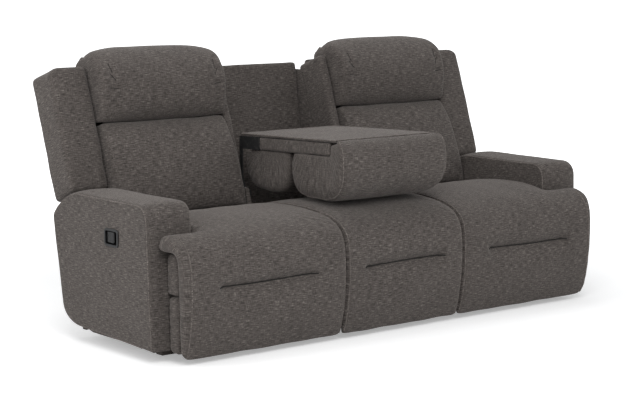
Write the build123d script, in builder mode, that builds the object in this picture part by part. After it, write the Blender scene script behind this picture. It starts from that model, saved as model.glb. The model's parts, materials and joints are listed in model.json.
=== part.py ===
from build123d import *
import os
from math import acos, atan2, cos, degrees, hypot, pi, sin

os.makedirs("parts", exist_ok=True)

# A three-seat sofa. X runs along it, -Y is its front, +Z is up, and the floor is Z = 0.
# Everything is made once on the +X side and mirrored for the -X side.

# Overall
sofa_width = 2134.0
seat_front = -508.0
panel_back = 508.0
soft_gap = 0.6
side_gap = 3.0
running_gap = 0.5

# Arms
arm_width = 190.0
arm_top = 560.0
arm_bottom = 45.0
arm_front_low = -367.0
arm_front_high = -340.0
arm_corner = 52.0
arm_rear_top = (280.0, 462.0)
arm_slope_start = 110.0
arm_rear_low = (221.0, 138.0)
arm_rear_radius = 78.0
arm_crown = 9.0
arm_pad_depth = 52.0
arm_face_depth = 26.0
board = 18.0
stud = 22.0
outer_panel = 18.0

# Release handle in the arm's outer side
bezel_length = 90.0
bezel_height = 65.0
bezel_rear = -77.0
bezel_base = 385.0
bezel_rim = 4.0
cup_depth = 30.0
cup_wall = 2.5
paddle_length = 44.0
paddle_thick = 7.0
paddle_pin = 3.0

# Base
rail_height = 26.0
rail_depth = 40.0
glide_height = 22.0
glide_size = 48.0
front_rail_y = -340.0
rear_rail_y = 165.0
rail_inset = 67.0
skirt_top = 345.0
skirt_thick = 12.0

# Seats
middle_half = 290.0
seat_base = 345.0
seat_rear = 93.0
seat_crown = 486.0
roll_bottom = 388.0
roll_front = -496.0
roll_inset = 35.0
pad_inset = 47.0
block_inset = 71.0
pad_bottom = 8.0
box_bottom = 35.0
pad_back = -432.0
tuck_height = 268.0
tuck_depth = 9.0
tuck_inner = 133.5
tuck_outer = 165.0
tuck_middle = 80.0

# Recliner mechanism
plate = 4.0
guide = 8.0
crank_pivot = (-262.0, 322.0)
carry_pin = (-352.0, 130.0)
link_length = 256.0
link_half = 12.0
pin_radius = 6.0
pin_clearance = 0.05
shaft_radius = 9.0
recline_pivot = (193.0, 380.0)
recline_pin = 8.0
slat = 28.0

# Backs, measured up the rear face and forward from it
back_lean = 19.5
back_foot = (328.0, 483.0)
wing_width = 161.0
wing_rounding = 16.0
wing_gap = 4.0
inner_rounding = 12.0
wing_depth_low = 152.0
wing_depth_high = 162.0
wing_length = 506.0
back_cover = 18.0
cover_lip = 22.0
back_cover_rounding = 12.0
back_frame_depth = 32.0

# Console, folded down, and the fixed panel behind it
hinge_pivot = (168.0, 475.0)
hinge_pin = 7.0
console_inset = 44.0
console_rear = 226.0
console_front = -374.0
console_rear_top = 715.0
console_front_top = 733.0
console_pad = 16.0
console_edge = 5.0
console_crown = 8.0
console_board_depth = 50.0
console_split = -82.0
console_board_rear = 134.0
strap = 5.0
panel_foot = (406.4, 350.0)
panel_top = 958.0
panel_thick = 24.0

half_width = sofa_width / 2
arm_inner = half_width - arm_width
panel_face = half_width - bezel_rim
seat_inner = middle_half + side_gap / 2
seat_outer = arm_inner - 2 * side_gap - 2.0
divider_outer = middle_half - 10.0
front_rail_half = half_width - rail_inset
roll_outer = half_width - roll_inset
pad_outer = half_width - pad_inset
block_outer = half_width - block_inset
wing_outer = seat_outer + wing_width
console_half = middle_half - console_inset
panel_half = console_half
inner_wing_near = console_half + wing_gap


def on_side(x):
    """The YZ plane at x, where a sketch's own X is the sofa's Y."""
    return Plane.YZ.offset(x)


def polygon(points):
    """A flat face through the points, in order."""
    with BuildLine() as outline:
        Polyline(*points, close=True)
    make_face(outline.edges())


def soft_face(points, centre, size=1.0):
    """A face of arcs whose points go corner, bulge, corner, bulge, drawn in towards centre."""
    drawn = [
        (centre[0] + size * (y - centre[0]), centre[1] + size * (z - centre[1]))
        for y, z in points
    ]
    with BuildLine() as outline:
        for i in range(0, len(drawn), 2):
            ThreePointArc(drawn[i], drawn[i + 1], drawn[(i + 2) % len(drawn)])
    make_face(outline.edges())


def pillow(points, centre, x_from, x_to, steps):
    """A crowned cushion: the outline lofted along X, drawn in at both ends by steps."""
    stations = [(x_from + inset, size) for inset, size in steps]
    stations.append(((x_from + x_to) / 2, 1.0))
    stations += [(x_to - inset, size) for inset, size in reversed(steps)]
    with BuildPart() as cushion:
        for x, size in stations:
            with BuildSketch(on_side(x)):
                soft_face(points, centre, size)
        loft(ruled=True)
    return cushion


def keep(solid, name):
    """Labels one finished piece and writes its STEP file."""
    solid.label = name
    export_step(solid, f"parts/{name}.step")


def keep_pair(solid, name):
    """Writes the +X piece as the right one, and its mirror image as the left one."""
    keep(solid, f"right_{name}")
    keep(mirror(solid, about=Plane.YZ), f"left_{name}")


def arm_front(z):
    """Y of the arm's front face, which leans back as it rises."""
    rise = (z - arm_bottom) / (arm_top - arm_bottom)
    return arm_front_low + rise * (arm_front_high - arm_front_low)


def back_point(along, forward):
    """The (y, z) point up the back's rear face by along, and forward of it."""
    lean = back_lean * pi / 180
    return (
        back_foot[0] + along * sin(lean) - forward * cos(lean),
        back_foot[1] + along * cos(lean) + forward * sin(lean),
    )


# Base: two cross rails under everything, on eight glides
def cross_rail(y, half):
    with BuildPart() as rail:
        with BuildSketch(Plane.XY.offset(glide_height)):
            with Locations((0, y + rail_depth / 2)):
                Rectangle(2 * half, rail_depth)
        extrude(amount=rail_height)
        fillet(rail.edges().filter_by(Axis.X), 2)
    return rail


keep(cross_rail(front_rail_y, front_rail_half).part, "base_front_rail")
keep(cross_rail(rear_rail_y, arm_inner).part, "base_rear_rail")

glide_x = (divider_outer + 40, arm_inner - 50)
front_glide_y = front_rail_y + rail_depth / 2 - 8
rear_glide_y = rear_rail_y + rail_depth / 2
with BuildPart() as floor_glides:
    with BuildSketch():
        with Locations(
            *[(s * x, y) for s in (-1, 1) for x in glide_x for y in (front_glide_y, rear_glide_y)]
        ):
            RectangleRounded(glide_size, glide_size, 8)
    extrude(amount=glide_height)
    chamfer(floor_glides.faces().filter_by(Axis.Z).sort_by(Axis.Z)[0:8].edges(), 2)
keep(floor_glides.part, "floor_glides")

skirt_y = rear_rail_y + rail_depth
strut_x = panel_half - board / 2 - 4
skirt_slot = 175.0
skirt_rise = 50.0
with BuildPart() as rear_skirt:
    with BuildSketch(Plane.XZ.offset(-skirt_y)):
        with Locations((0, (glide_height + 10 + skirt_top) / 2)):
            Rectangle(2 * arm_inner, skirt_top - glide_height - 10)
        with Locations(*[(s * (seat_inner + seat_outer) / 2, skirt_top) for s in (-1, 1)]):
            Rectangle(seat_outer - seat_inner - 14, 2 * skirt_rise)
        with Locations((-strut_x, skirt_slot / 2), (strut_x, skirt_slot / 2)):
            Rectangle(board + 2 * running_gap, skirt_slot, mode=Mode.SUBTRACT)
    extrude(amount=-skirt_thick)
keep(rear_skirt.part, "rear_skirt")

# Centre dividers: boards between the middle seat and the outer seats. Each has an ear that holds
# the console's hinge pin on its inner side and the back's pivot pin on its outer side.
base_top = glide_height + rail_height
pivot_y, pivot_z = recline_pivot
hinge_y, hinge_z = hinge_pivot
ear = 26.0
with BuildPart() as divider:
    with BuildSketch(on_side(divider_outer - board)):
        polygon(
            [
                (front_rail_y + 10, base_top),
                (skirt_y - 1, base_top),
                (skirt_y - 1, skirt_top + 6),
                (pivot_y + ear, pivot_z - ear),
                (pivot_y + ear, pivot_z + ear),
                (hinge_y + ear, hinge_z + ear),
                (hinge_y - ear, hinge_z + ear),
                (seat_rear + 12, pivot_z),
                (seat_rear + 4, seat_base - 1),
                (front_rail_y + 10, seat_base - 1),
            ]
        )
    extrude(amount=board)
    with BuildSketch(on_side(divider_outer)):
        with Locations(recline_pivot):
            Circle(recline_pin)
    extrude(amount=seat_inner - divider_outer)
    with BuildSketch(on_side(divider_outer - board)):
        with Locations(hinge_pivot):
            Circle(hinge_pin)
    extrude(amount=-(divider_outer - board - console_half + 6))
keep_pair(divider.part, "centre_divider")

# Arm: a frame of boards, a pad that wraps its top and front, and an outer side panel
arm_top_inner = arm_top - arm_pad_depth
arm_side = [
    (arm_front(base_top) + arm_face_depth, base_top),
    (arm_front(arm_top_inner) + arm_face_depth, arm_top_inner),
    (arm_slope_start + 20, arm_top_inner),
    (arm_rear_top[0] - 34, arm_rear_top[1] - 12),
    (arm_rear_low[0] - 12, arm_rear_low[1] + 12),
    (arm_rear_low[0] - 50, arm_bottom + 48),
    (arm_rear_low[0] - 120, base_top + 14),
    (arm_rear_low[0] - 180, base_top),
]
cavity_outer = panel_face - outer_panel
stud_places = (
    bezel_rear - bezel_length - 2 * stud,
    bezel_rear + stud,
    arm_slope_start - 20,
)
with BuildPart() as arm_frame:
    with BuildSketch(on_side(arm_inner)):
        polygon(arm_side)
    extrude(amount=board)
    with BuildSketch(on_side(arm_inner + board)):
        polygon(arm_side)
        inner_side = [
            (arm_side[0][0] + board, base_top + board),
            (arm_side[1][0] + board, arm_top_inner - board),
            (arm_slope_start + 15, arm_top_inner - board),
            (arm_side[3][0] - board, arm_side[3][1] - board),
            (arm_side[4][0] - board, arm_side[4][1]),
            (arm_side[5][0] - board, arm_side[5][1] + board / 2),
            (arm_side[6][0] - board / 2, arm_side[6][1] + board),
            (arm_side[7][0] - board, base_top + board),
        ]
        with BuildLine():
            Polyline(*inner_side, close=True)
        make_face(mode=Mode.SUBTRACT)
    extrude(amount=cavity_outer - arm_inner - board)
    for y in stud_places:
        with BuildSketch(on_side(arm_inner + board)):
            with Locations((y + stud / 2, (base_top + arm_top_inner) / 2)):
                Rectangle(stud, arm_top_inner - base_top - 2)
        extrude(amount=cavity_outer - arm_inner - board)
    with BuildSketch(on_side(arm_inner)):
        with Locations(recline_pivot):
            Circle(recline_pin)
    extrude(amount=-(arm_inner - seat_outer + 1))
keep_pair(arm_frame.part, "arm_frame")


def arm_outline(inset):
    """The arm's side outline, drawn in by inset, with its rounded front and rear corners."""
    low, high = arm_bottom + inset, arm_top - inset
    front_low = (arm_front(low) + inset, low)
    front_high = (arm_front(high - arm_corner) + inset, high - arm_corner)
    top_front = (front_high[0] + arm_corner, high)
    rear_top = (arm_rear_top[0] - inset, arm_rear_top[1])
    rear_low = (arm_rear_low[0] - inset, arm_rear_low[1])
    bottom_rear = (rear_low[0] - arm_rear_radius * 1.6, low + 16)
    with BuildLine() as outline:
        Line(front_low, front_high)
        TangentArc(front_high, top_front, tangent=Vector(0, 1))
        Line(top_front, (arm_slope_start, high))
        ThreePointArc((arm_slope_start, high), (arm_slope_start + 92, high - 28), rear_top)
        Line(rear_top, rear_low)
        ThreePointArc(
            rear_low, (rear_low[0] - arm_rear_radius * 0.42, low + 36), bottom_rear
        )
        Line(bottom_rear, front_low)
    make_face(outline.edges())


with BuildPart() as arm_pad:
    with BuildSketch(on_side(arm_inner)):
        arm_outline(0)
        with BuildLine():
            Polyline(
                (arm_front(arm_bottom - 10) + arm_face_depth, arm_bottom - 10),
                (arm_front(arm_top_inner) + arm_face_depth, arm_top_inner),
                (arm_slope_start + 20, arm_top_inner),
                (arm_rear_top[0] - 34, arm_rear_top[1] - 12),
                (arm_rear_top[0] + 20, arm_rear_top[1] - 12),
                (arm_rear_top[0] + 20, arm_bottom - 10),
                close=True,
            )
        make_face(mode=Mode.SUBTRACT)
    extrude(amount=cavity_outer - arm_inner)
    with BuildSketch(Plane.XZ.offset(-panel_back)) as crown:
        with BuildLine():
            low_left = (arm_inner, arm_bottom - 20)
            low_right = (cavity_outer, arm_bottom - 20)
            high_left = (arm_inner, arm_top - arm_crown)
            high_right = (cavity_outer, arm_top - arm_crown)
            Line(low_left, low_right)
            Line(low_right, high_right)
            ThreePointArc(high_right, ((arm_inner + cavity_outer) / 2, arm_top), high_left)
            Line(high_left, low_left)
        make_face()
    extrude(amount=2 * panel_back, mode=Mode.INTERSECT)
keep_pair(arm_pad.part, "arm_pad")

bezel_centre = (bezel_rear - bezel_length / 2, bezel_base + bezel_height / 2)
cup_length = bezel_length - 12
cup_height = bezel_height - 12
with BuildPart() as arm_outer_panel:
    with BuildSketch(on_side(cavity_outer)):
        arm_outline(3)
        with Locations(bezel_centre):
            RectangleRounded(cup_length + 1, cup_height + 1, 9, mode=Mode.SUBTRACT)
    extrude(amount=outer_panel)
    outer_rim = arm_outer_panel.faces().sort_by(Axis.X)[-1].outer_wire().edges()
    chamfer(outer_rim, 3)
keep_pair(arm_outer_panel.part, "arm_outer_panel")

# Release handle: a cup with a rim, and a paddle on an upright pin at the cup's rear end
with BuildPart() as handle_bezel:
    with BuildSketch(on_side(panel_face)):
        with Locations(bezel_centre):
            RectangleRounded(bezel_length, bezel_height, 14)
    extrude(amount=bezel_rim)
    fillet(handle_bezel.faces().sort_by(Axis.X)[-1].edges(), 2)
    with BuildSketch(on_side(panel_face)):
        with Locations(bezel_centre):
            RectangleRounded(cup_length, cup_height, 9)
    extrude(amount=-cup_depth)
    with BuildSketch(on_side(panel_face + bezel_rim)):
        with Locations(bezel_centre):
            RectangleRounded(cup_length - 2 * cup_wall, cup_height - 2 * cup_wall, 7)
    extrude(amount=-(cup_depth + bezel_rim - cup_wall), mode=Mode.SUBTRACT)
keep_pair(handle_bezel.part, "handle_bezel")

cup_rear = bezel_centre[0] + cup_length / 2 - cup_wall
paddle_face = half_width - 2.0
paddle_height = cup_height - 2 * cup_wall - 12 * running_gap
paddle_axis = (paddle_face - paddle_thick, cup_rear - paddle_pin - 2.5)
with BuildPart() as handle_lever:
    with BuildSketch(Plane.XY.offset(bezel_centre[1] - paddle_height / 2)):
        with BuildLine():
            Polyline(
                (paddle_axis[0] - paddle_pin, paddle_axis[1]),
                (paddle_axis[0] - paddle_pin + 2, paddle_axis[1] - paddle_length),
                (paddle_axis[0] + paddle_pin + 3, paddle_axis[1] - paddle_length),
                (paddle_axis[0] + paddle_pin, paddle_axis[1]),
                close=True,
            )
        make_face()
        with Locations(paddle_axis):
            Circle(paddle_pin)
    extrude(amount=paddle_height)
    fillet(handle_lever.faces().sort_by(Axis.Y)[0].edges(), 1.5)
keep_pair(handle_lever.part, "handle_lever")

# Seat carriage: guides on the arm and divider, and two plates that slide on them
guide_low = seat_base - 117
plate_low = guide_low + plate + 0.3
outer_plate = arm_inner - guide - running_gap - plate
inner_plate = divider_outer + guide + running_gap
with BuildPart() as seat_guides:
    for wall, ledge in (
        (arm_inner - guide, outer_plate - 0.3),
        (divider_outer, divider_outer + guide),
    ):
        with BuildSketch(on_side(wall)):
            with Locations((-50, guide_low + 17)):
                Rectangle(400, 34)
        extrude(amount=guide)
        with BuildSketch(on_side(ledge)):
            with Locations((-50, guide_low + plate / 2)):
                Rectangle(400, plate)
        extrude(amount=plate + running_gap + 0.3)
keep_pair(seat_guides.part, "seat_guides")

with BuildPart() as mech_plates:
    for x in (outer_plate, inner_plate):
        with BuildSketch(on_side(x)):
            with BuildLine():
                Polyline(
                    (crank_pivot[0] - 70, seat_base - 60),
                    (crank_pivot[0] - 70, seat_base - 0.4),
                    (seat_rear - 4, seat_base - 0.4),
                    (seat_rear - 4, plate_low),
                    (crank_pivot[0] + 10, plate_low),
                    close=True,
                )
            make_face()
            with Locations(crank_pivot):
                Circle(pin_radius + pin_clearance, mode=Mode.SUBTRACT)
        extrude(amount=plate)
keep_pair(mech_plates.part, "mech_plates")

rail_left = inner_plate + plate
rail_right = outer_plate
rail_middle = (rail_left + rail_right) / 2
front_rail = crank_pivot[0] - 50 - slat
with BuildPart() as seat_rails:
    with BuildSketch(Plane.XY.offset(seat_base - 20)):
        with Locations((rail_middle, front_rail + slat / 2), (rail_middle, seat_rear - 6 - slat / 2)):
            Rectangle(rail_right - rail_left, slat)
    extrude(amount=19.6)
    with BuildSketch(Plane.XY.offset(seat_base - 60)):
        with Locations((rail_middle, front_rail + slat / 2), (rail_middle, seat_rear - 6 - slat / 2)):
            Rectangle(rail_right - rail_left - 60, slat)
    extrude(amount=40)
keep_pair(seat_rails.part, "seat_rails")

# Sinuous springs: each runs from the front rail to the rear rail in even bends
spring_radius = 1.8
spring_count = 5
spring_bends = 11
spring_swing = 22.0
spring_bend = 9.0
spring_z = seat_base - 3.0
spring_front = front_rail + slat
spring_rear = seat_rear - 6 - slat


def spring_points(x):
    pitch = (spring_rear - spring_front) / (spring_bends + 1)
    points = [(x, spring_front, spring_z), (x, spring_front + pitch * 0.6, spring_z)]
    for i in range(spring_bends):
        swing = spring_swing if i % 2 else -spring_swing
        middle = spring_front + pitch * (i + 1)
        points.append((x + swing, middle - pitch * 0.4, spring_z))
        points.append((x + swing, middle + pitch * 0.4, spring_z))
    points.append((x, spring_rear - pitch * 0.6, spring_z))
    points.append((x, spring_rear, spring_z))
    return points


def spring_set(x_from, x_to):
    step = (x_to - x_from) / spring_count
    with BuildPart() as springs:
        for i in range(spring_count):
            x = x_from + step * (i + 0.5)
            with BuildLine():
                FilletPolyline(*spring_points(x), radius=spring_bend)
            with BuildSketch(Plane((x, spring_front, spring_z), x_dir=(1, 0, 0), z_dir=(0, 1, 0))):
                Circle(spring_radius)
            sweep()
    return springs


keep_pair(spring_set(rail_left, rail_right).part, "seat_springs")

# Seat cushions: a crowned body, and a front roll that runs out over the arm's front
seat_body = [
    (seat_rear, seat_base),
    (seat_rear + 4, seat_base + 50),
    (seat_rear - 4, seat_crown - 42),
    (-130.0, seat_crown),
    (-330.0, seat_crown - 16),
    (-336.0, seat_base + 60),
    (-330.0, seat_base),
    (-120.0, seat_base - 0.3),
]
seat_roll = [
    (-300.0, roll_bottom + soft_gap),
    (-298.0, seat_base + 90),
    (-300.0, seat_crown - 8),
    (-385.0, seat_crown - 11),
    (-448.0, seat_crown - 45),
    (-482.0, seat_crown - 72),
    (roll_front, roll_bottom + soft_gap),
    (-400.0, roll_bottom + soft_gap - 0.3),
]
body_steps = [(0, 0.95), (8, 0.975), (30, 0.99), (90, 0.998)]
roll_steps = [(0, 0.86), (7, 0.93), (22, 0.97), (55, 0.99), (120, 0.998)]


def seat_cushion(x_from, x_to, roll_to):
    body_centre = (-120.0, seat_base)
    roll_centre = (-390.0, roll_bottom + soft_gap + 20)
    body = pillow(seat_body, body_centre, x_from, x_to, body_steps)
    roll = pillow(seat_roll, roll_centre, x_from, roll_to, roll_steps)
    with BuildPart() as cushion:
        add(body.part)
        add(roll.part)
        if roll_to > x_to:
            arm_clear = arm_front(roll_bottom) - 1.0
            with BuildSketch(Plane.XY.offset(seat_base - 10)):
                with Locations((x_to + (roll_to - x_to) / 2, (arm_clear + seat_rear + 20) / 2)):
                    Rectangle(roll_to - x_to, seat_rear + 20 - arm_clear)
            extrude(amount=seat_crown - seat_base + 30, mode=Mode.SUBTRACT)
    return cushion


keep_pair(seat_cushion(seat_inner, seat_outer, roll_outer).part, "seat_cushion")
middle_edge = middle_half - side_gap / 2
keep(seat_cushion(-middle_edge, middle_edge, middle_edge).part, "middle_seat_cushion")

# Front pads: the seat's cover carried down over the footrest, with a sewn tuck across it
pad_outline = [
    (pad_back, roll_bottom - soft_gap),
    (-465.0, roll_bottom - soft_gap + 0.3),
    (roll_front, roll_bottom - soft_gap),
    (seat_front, roll_bottom - 50),
    (seat_front + 1, tuck_height),
    (-500.0, tuck_height - 90),
    (-470.0, pad_bottom + 36),
    (-460.0, pad_bottom + 9),
    (pad_back - 8, pad_bottom),
    (pad_back - 3, pad_bottom + 3),
    (pad_back, pad_bottom + 12),
    (pad_back - 0.3, 200.0),
]
pad_steps = [(0, 0.86), (7, 0.92), (24, 0.96), (60, 0.988), (120, 0.999)]


def front_pad(x_from, x_to, tuck_from, tuck_to):
    body = pillow(pad_outline, (pad_back - 30, tuck_height + 40), x_from, x_to, pad_steps)
    with BuildPart() as pad:
        add(body.part)
        with BuildSketch(on_side(tuck_from)):
            polygon(
                [
                    (seat_front - 6, tuck_height + 6),
                    (seat_front - 6, tuck_height - 6),
                    (seat_front + tuck_depth, tuck_height),
                ]
            )
        extrude(amount=tuck_to - tuck_from, mode=Mode.SUBTRACT)
    return pad


outer_tuck = (seat_inner + tuck_inner, pad_outer - tuck_outer)
middle_tuck = middle_edge - tuck_middle
keep_pair(front_pad(seat_inner, pad_outer, *outer_tuck).part, "footrest_pad")
keep(front_pad(-middle_edge, middle_edge, -middle_tuck, middle_tuck).part, "middle_front_pad")

# Footrest: two upholstered boards behind the pad
block_split = 238.0


def footrest_block(low, high, rear):
    front = pad_back + soft_gap
    with BuildPart() as block:
        with BuildSketch(on_side(seat_inner + 6)):
            with Locations(((front + rear) / 2, (low + high) / 2)):
                RectangleRounded(rear - front, high - low, 14)
        extrude(amount=block_outer - seat_inner - 6)
        ends = block.faces().filter_by(Axis.X)
        fillet(ends.edges(), 10)
    return block


flap_rear = arm_front(block_split) - 1.5
box_rear = arm_front_low - 1.5
footrest_flap = footrest_block(block_split + soft_gap, roll_bottom - soft_gap, flap_rear)
keep_pair(footrest_flap.part, "footrest_flap")
footrest_box = footrest_block(box_bottom, block_split, box_rear)
keep_pair(footrest_box.part, "footrest_box")

# Linkage: a shaft with a crank at each end, a pair of carry links, and the footrest's brackets.
# The knee is where the two equal links meet between the crank pivot and the carry pin.
reach = hypot(carry_pin[0] - crank_pivot[0], carry_pin[1] - crank_pivot[1])
aim = atan2(carry_pin[1] - crank_pivot[1], carry_pin[0] - crank_pivot[0])
spread = acos(reach / 2 / link_length)
knee = (
    crank_pivot[0] + link_length * cos(aim + spread),
    crank_pivot[1] + link_length * sin(aim + spread),
)
print("crank starts at", round(degrees(aim + spread), 3), "degrees; knee at", knee)

link_space = 1.5
crank_outer = outer_plate - link_space - plate
crank_inner = inner_plate + plate + link_space
carry_outer = crank_outer - link_space - plate
carry_inner = crank_inner + plate + link_space
bracket_outer = carry_outer - link_space - plate
bracket_inner = carry_inner + plate + link_space


def link_face(start, end):
    """A flat link with round ends, as wide as twice link_half."""
    along = Vector(*end) - Vector(*start)
    middle = ((start[0] + end[0]) / 2, (start[1] + end[1]) / 2)
    with Locations(Location((*middle, 0), (0, 0, degrees(atan2(along.Y, along.X))))):
        SlotCenterToCenter(along.length, 2 * link_half)


with BuildPart() as crank_frame:
    for x in (crank_outer, crank_inner):
        with BuildSketch(on_side(x)):
            link_face(crank_pivot, knee)
        extrude(amount=plate)
    with BuildSketch(on_side(crank_inner + plate)):
        with Locations(crank_pivot):
            Circle(shaft_radius)
    extrude(amount=crank_outer - crank_inner - plate)
    stub = link_space + plate
    for x, direction, place in (
        (crank_outer + plate, 1, crank_pivot),
        (crank_inner, -1, crank_pivot),
        (crank_outer, -1, knee),
        (crank_inner + plate, 1, knee),
    ):
        with BuildSketch(on_side(x)):
            with Locations(place):
                Circle(pin_radius)
        extrude(amount=direction * stub)
keep_pair(crank_frame.part, "crank_frame")

with BuildPart() as carry_links:
    for x in (carry_outer, carry_inner):
        with BuildSketch(on_side(x)):
            link_face(knee, carry_pin)
            with Locations(knee):
                Circle(pin_radius + pin_clearance, mode=Mode.SUBTRACT)
            with Locations(carry_pin):
                Circle(pin_radius, mode=Mode.SUBTRACT)
        extrude(amount=plate)
keep_pair(carry_links.part, "carry_links")

with BuildPart() as footrest_brackets:
    for x in (bracket_outer, bracket_inner):
        with BuildSketch(on_side(x)):
            polygon(
                [
                    (box_rear, carry_pin[1] - 30),
                    (box_rear, carry_pin[1] + 30),
                    (carry_pin[0] + 6, carry_pin[1] + 12),
                    (carry_pin[0] + 12, carry_pin[1]),
                    (carry_pin[0] + 6, carry_pin[1] - 12),
                ]
            )
            with Locations(carry_pin):
                Circle(pin_radius, mode=Mode.SUBTRACT)
        extrude(amount=plate)
keep_pair(footrest_brackets.part, "footrest_brackets")

# Reclining back: board frame with pivot ears, rear cover, two cushions and two wings
frame_rear = back_cover
frame_front = back_cover + back_frame_depth
frame_foot = -62.0
frame_top = 488.0
ear_outer = seat_outer - 1.0
ear_inner = divider_outer + 4.0
ear_plate = 5.0
stile = 36.0
ear_top = -5.0
with BuildPart() as back_frame:
    with BuildSketch(on_side(seat_inner + running_gap)):
        polygon(
            [
                back_point(frame_foot, frame_rear),
                back_point(frame_top, frame_rear),
                back_point(frame_top, frame_front - 14),
                back_point(frame_foot, frame_front - 14),
            ]
        )
    extrude(amount=seat_outer - seat_inner - 2 * running_gap)
    for x in (seat_inner + running_gap, seat_outer - running_gap - stile):
        with BuildSketch(on_side(x)):
            polygon(
                [
                    back_point(frame_foot, frame_rear),
                    back_point(frame_top, frame_rear),
                    back_point(frame_top, frame_front),
                    back_point(frame_foot, frame_front),
                ]
            )
        extrude(amount=stile)
    for x in (ear_outer, ear_inner):
        with BuildSketch(on_side(x)):
            polygon(
                [
                    back_point(ear_top, frame_rear),
                    back_point(ear_top, frame_front),
                    (pivot_y - 16, pivot_z + 14),
                    (pivot_y - 20, pivot_z),
                    (pivot_y - 8, pivot_z - 18),
                    (pivot_y + 12, pivot_z - 18),
                    back_point(frame_foot, frame_rear),
                ]
            )
            with Locations(recline_pivot):
                Circle(recline_pin + pin_clearance, mode=Mode.SUBTRACT)
        extrude(amount=ear_plate)
    with BuildSketch(on_side(ear_inner + ear_plate)):
        polygon(
            [
                back_point(frame_foot, frame_rear),
                back_point(ear_top, frame_rear),
                back_point(ear_top, frame_front),
                back_point(frame_foot, frame_front),
            ]
        )
    extrude(amount=seat_inner + running_gap - ear_inner - ear_plate)
keep_pair(back_frame.part, "back_frame")

with BuildPart() as back_cover_panel:
    with BuildSketch(on_side(seat_inner + running_gap)):
        polygon(
            [
                back_point(frame_foot + 8, 0),
                back_point(frame_top + cover_lip, 0),
                back_point(frame_top + cover_lip, frame_front),
                back_point(frame_top, frame_front),
                back_point(frame_top, back_cover),
                back_point(frame_foot + 8, back_cover),
            ]
        )
    extrude(amount=seat_outer - seat_inner - 2 * running_gap)
    rear_top = back_cover_panel.edges().filter_by(Axis.X).sort_by(Axis.Z)[-2:]
    fillet(rear_top, back_cover_rounding)
keep_pair(back_cover_panel.part, "back_rear_cover")

cushion_back = frame_front + soft_gap
lumbar = [
    back_point(-50, cushion_back),
    (back_point(-85, 130)[0], back_point(-85, 130)[1] - 14),
    (101.0, 439.0),
    (150.0, 606.0),
    (240.0, 766.0),
    (258.0, 776.0),
    (268.0, 780.0),
    (290.0, 781.0),
    back_point(270, cushion_back),
    back_point(110, cushion_back + 0.3),
]
lumbar_steps = [(0, 0.88), (7, 0.93), (26, 0.965), (70, 0.99), (140, 0.998)]
lumbar_cushion = pillow(lumbar, back_point(110, cushion_back), seat_inner + 1, seat_outer - 1, lumbar_steps)
keep_pair(lumbar_cushion.part, "lumbar_cushion")

head_rear = back_point(frame_top + 24, cushion_back)
head = [
    back_point(276, cushion_back),
    (300.0, 784.0),
    (272.0, 787.0),
    (240.0, 800.0),
    (229.0, 850.0),
    (223.0, 930.0),
    (255.0, 1006.0),
    (302.0, 1055.0),
    (372.0, 1059.0),
    (438.0, 1042.0),
    back_point(frame_top + 58, 18),
    back_point(frame_top + 34, 22),
    back_point(frame_top + 24, 38),
    back_point(frame_top + 25, 46),
    back_point(frame_top + 24, cushion_back),
    back_point(380, cushion_back + 0.3),
]
head_steps = [(0, 0.82), (7, 0.88), (22, 0.93), (50, 0.97), (90, 0.99), (150, 0.998)]
head_cushion = pillow(head, head_rear, seat_inner + 1, seat_outer - 1, head_steps)
keep_pair(head_cushion.part, "head_cushion")


def wing(x_from, x_to, rounding):
    with BuildPart() as side_wing:
        with BuildSketch(on_side(x_from)):
            with BuildLine():
                foot_rear = back_point(0, 0)
                foot_front = back_point(16, wing_depth_low)
                top_front = back_point(wing_length - 78, wing_depth_high)
                crest = (top_front[0] + 22, top_front[1] + 25)
                crest_rear = back_point(wing_length - 12, 20)
                top_rear = back_point(wing_length - 28, 0)
                Line(foot_rear, foot_front)
                Line(foot_front, top_front)
                ThreePointArc(top_front, (top_front[0] + 6, top_front[1] + 19), crest)
                Line(crest, crest_rear)
                ThreePointArc(crest_rear, (top_rear[0] - 3, crest_rear[1] - 5), top_rear)
                Line(top_rear, foot_rear)
            make_face()
        extrude(amount=x_to - x_from)
        inner_edges = side_wing.faces().sort_by(Axis.X)[0].edges().sort_by(Axis.Y)
        outer_edges = side_wing.faces().sort_by(Axis.X)[-1].edges()
        fillet(inner_edges + outer_edges, rounding)
    return side_wing


keep_pair(wing(seat_outer - running_gap, wing_outer, wing_rounding).part, "outer_wing")
keep_pair(wing(inner_wing_near, seat_inner + running_gap, inner_rounding).part, "inner_wing")

# Middle seat frame and the fixed panel behind the console
deck_half = divider_outer - board
with BuildPart() as middle_seat_frame:
    with BuildSketch(on_side(-deck_half)):
        polygon(
            [
                (pad_back + soft_gap, base_top),
                (pad_back + soft_gap, roll_bottom - 3),
                (pad_back + soft_gap + board, roll_bottom - 3),
                (pad_back + soft_gap + board, seat_base - 0.4),
                (seat_rear, seat_base - 0.4),
                (seat_rear, seat_base - board),
                (pad_back + soft_gap + board, seat_base - board),
                (pad_back + soft_gap + board, base_top),
            ]
        )
    extrude(amount=2 * deck_half)
keep(middle_seat_frame.part, "middle_seat_frame")

panel_lean = 7.6 * pi / 180
panel_run = (panel_top - panel_foot[1]) * sin(panel_lean) / cos(panel_lean)
panel_rear_low = (panel_foot[0] + panel_thick, panel_foot[1])
with BuildPart() as rear_panel:
    with BuildSketch(on_side(-panel_half)):
        polygon(
            [
                panel_foot,
                (panel_foot[0] + panel_run, panel_top),
                (panel_foot[0] + panel_run + panel_thick, panel_top),
                panel_rear_low,
            ]
        )
    extrude(amount=2 * panel_half)
    fillet(rear_panel.edges().filter_by(Axis.X).sort_by(Axis.Z)[-2:], 10)
keep(rear_panel.part, "rear_panel")

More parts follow.
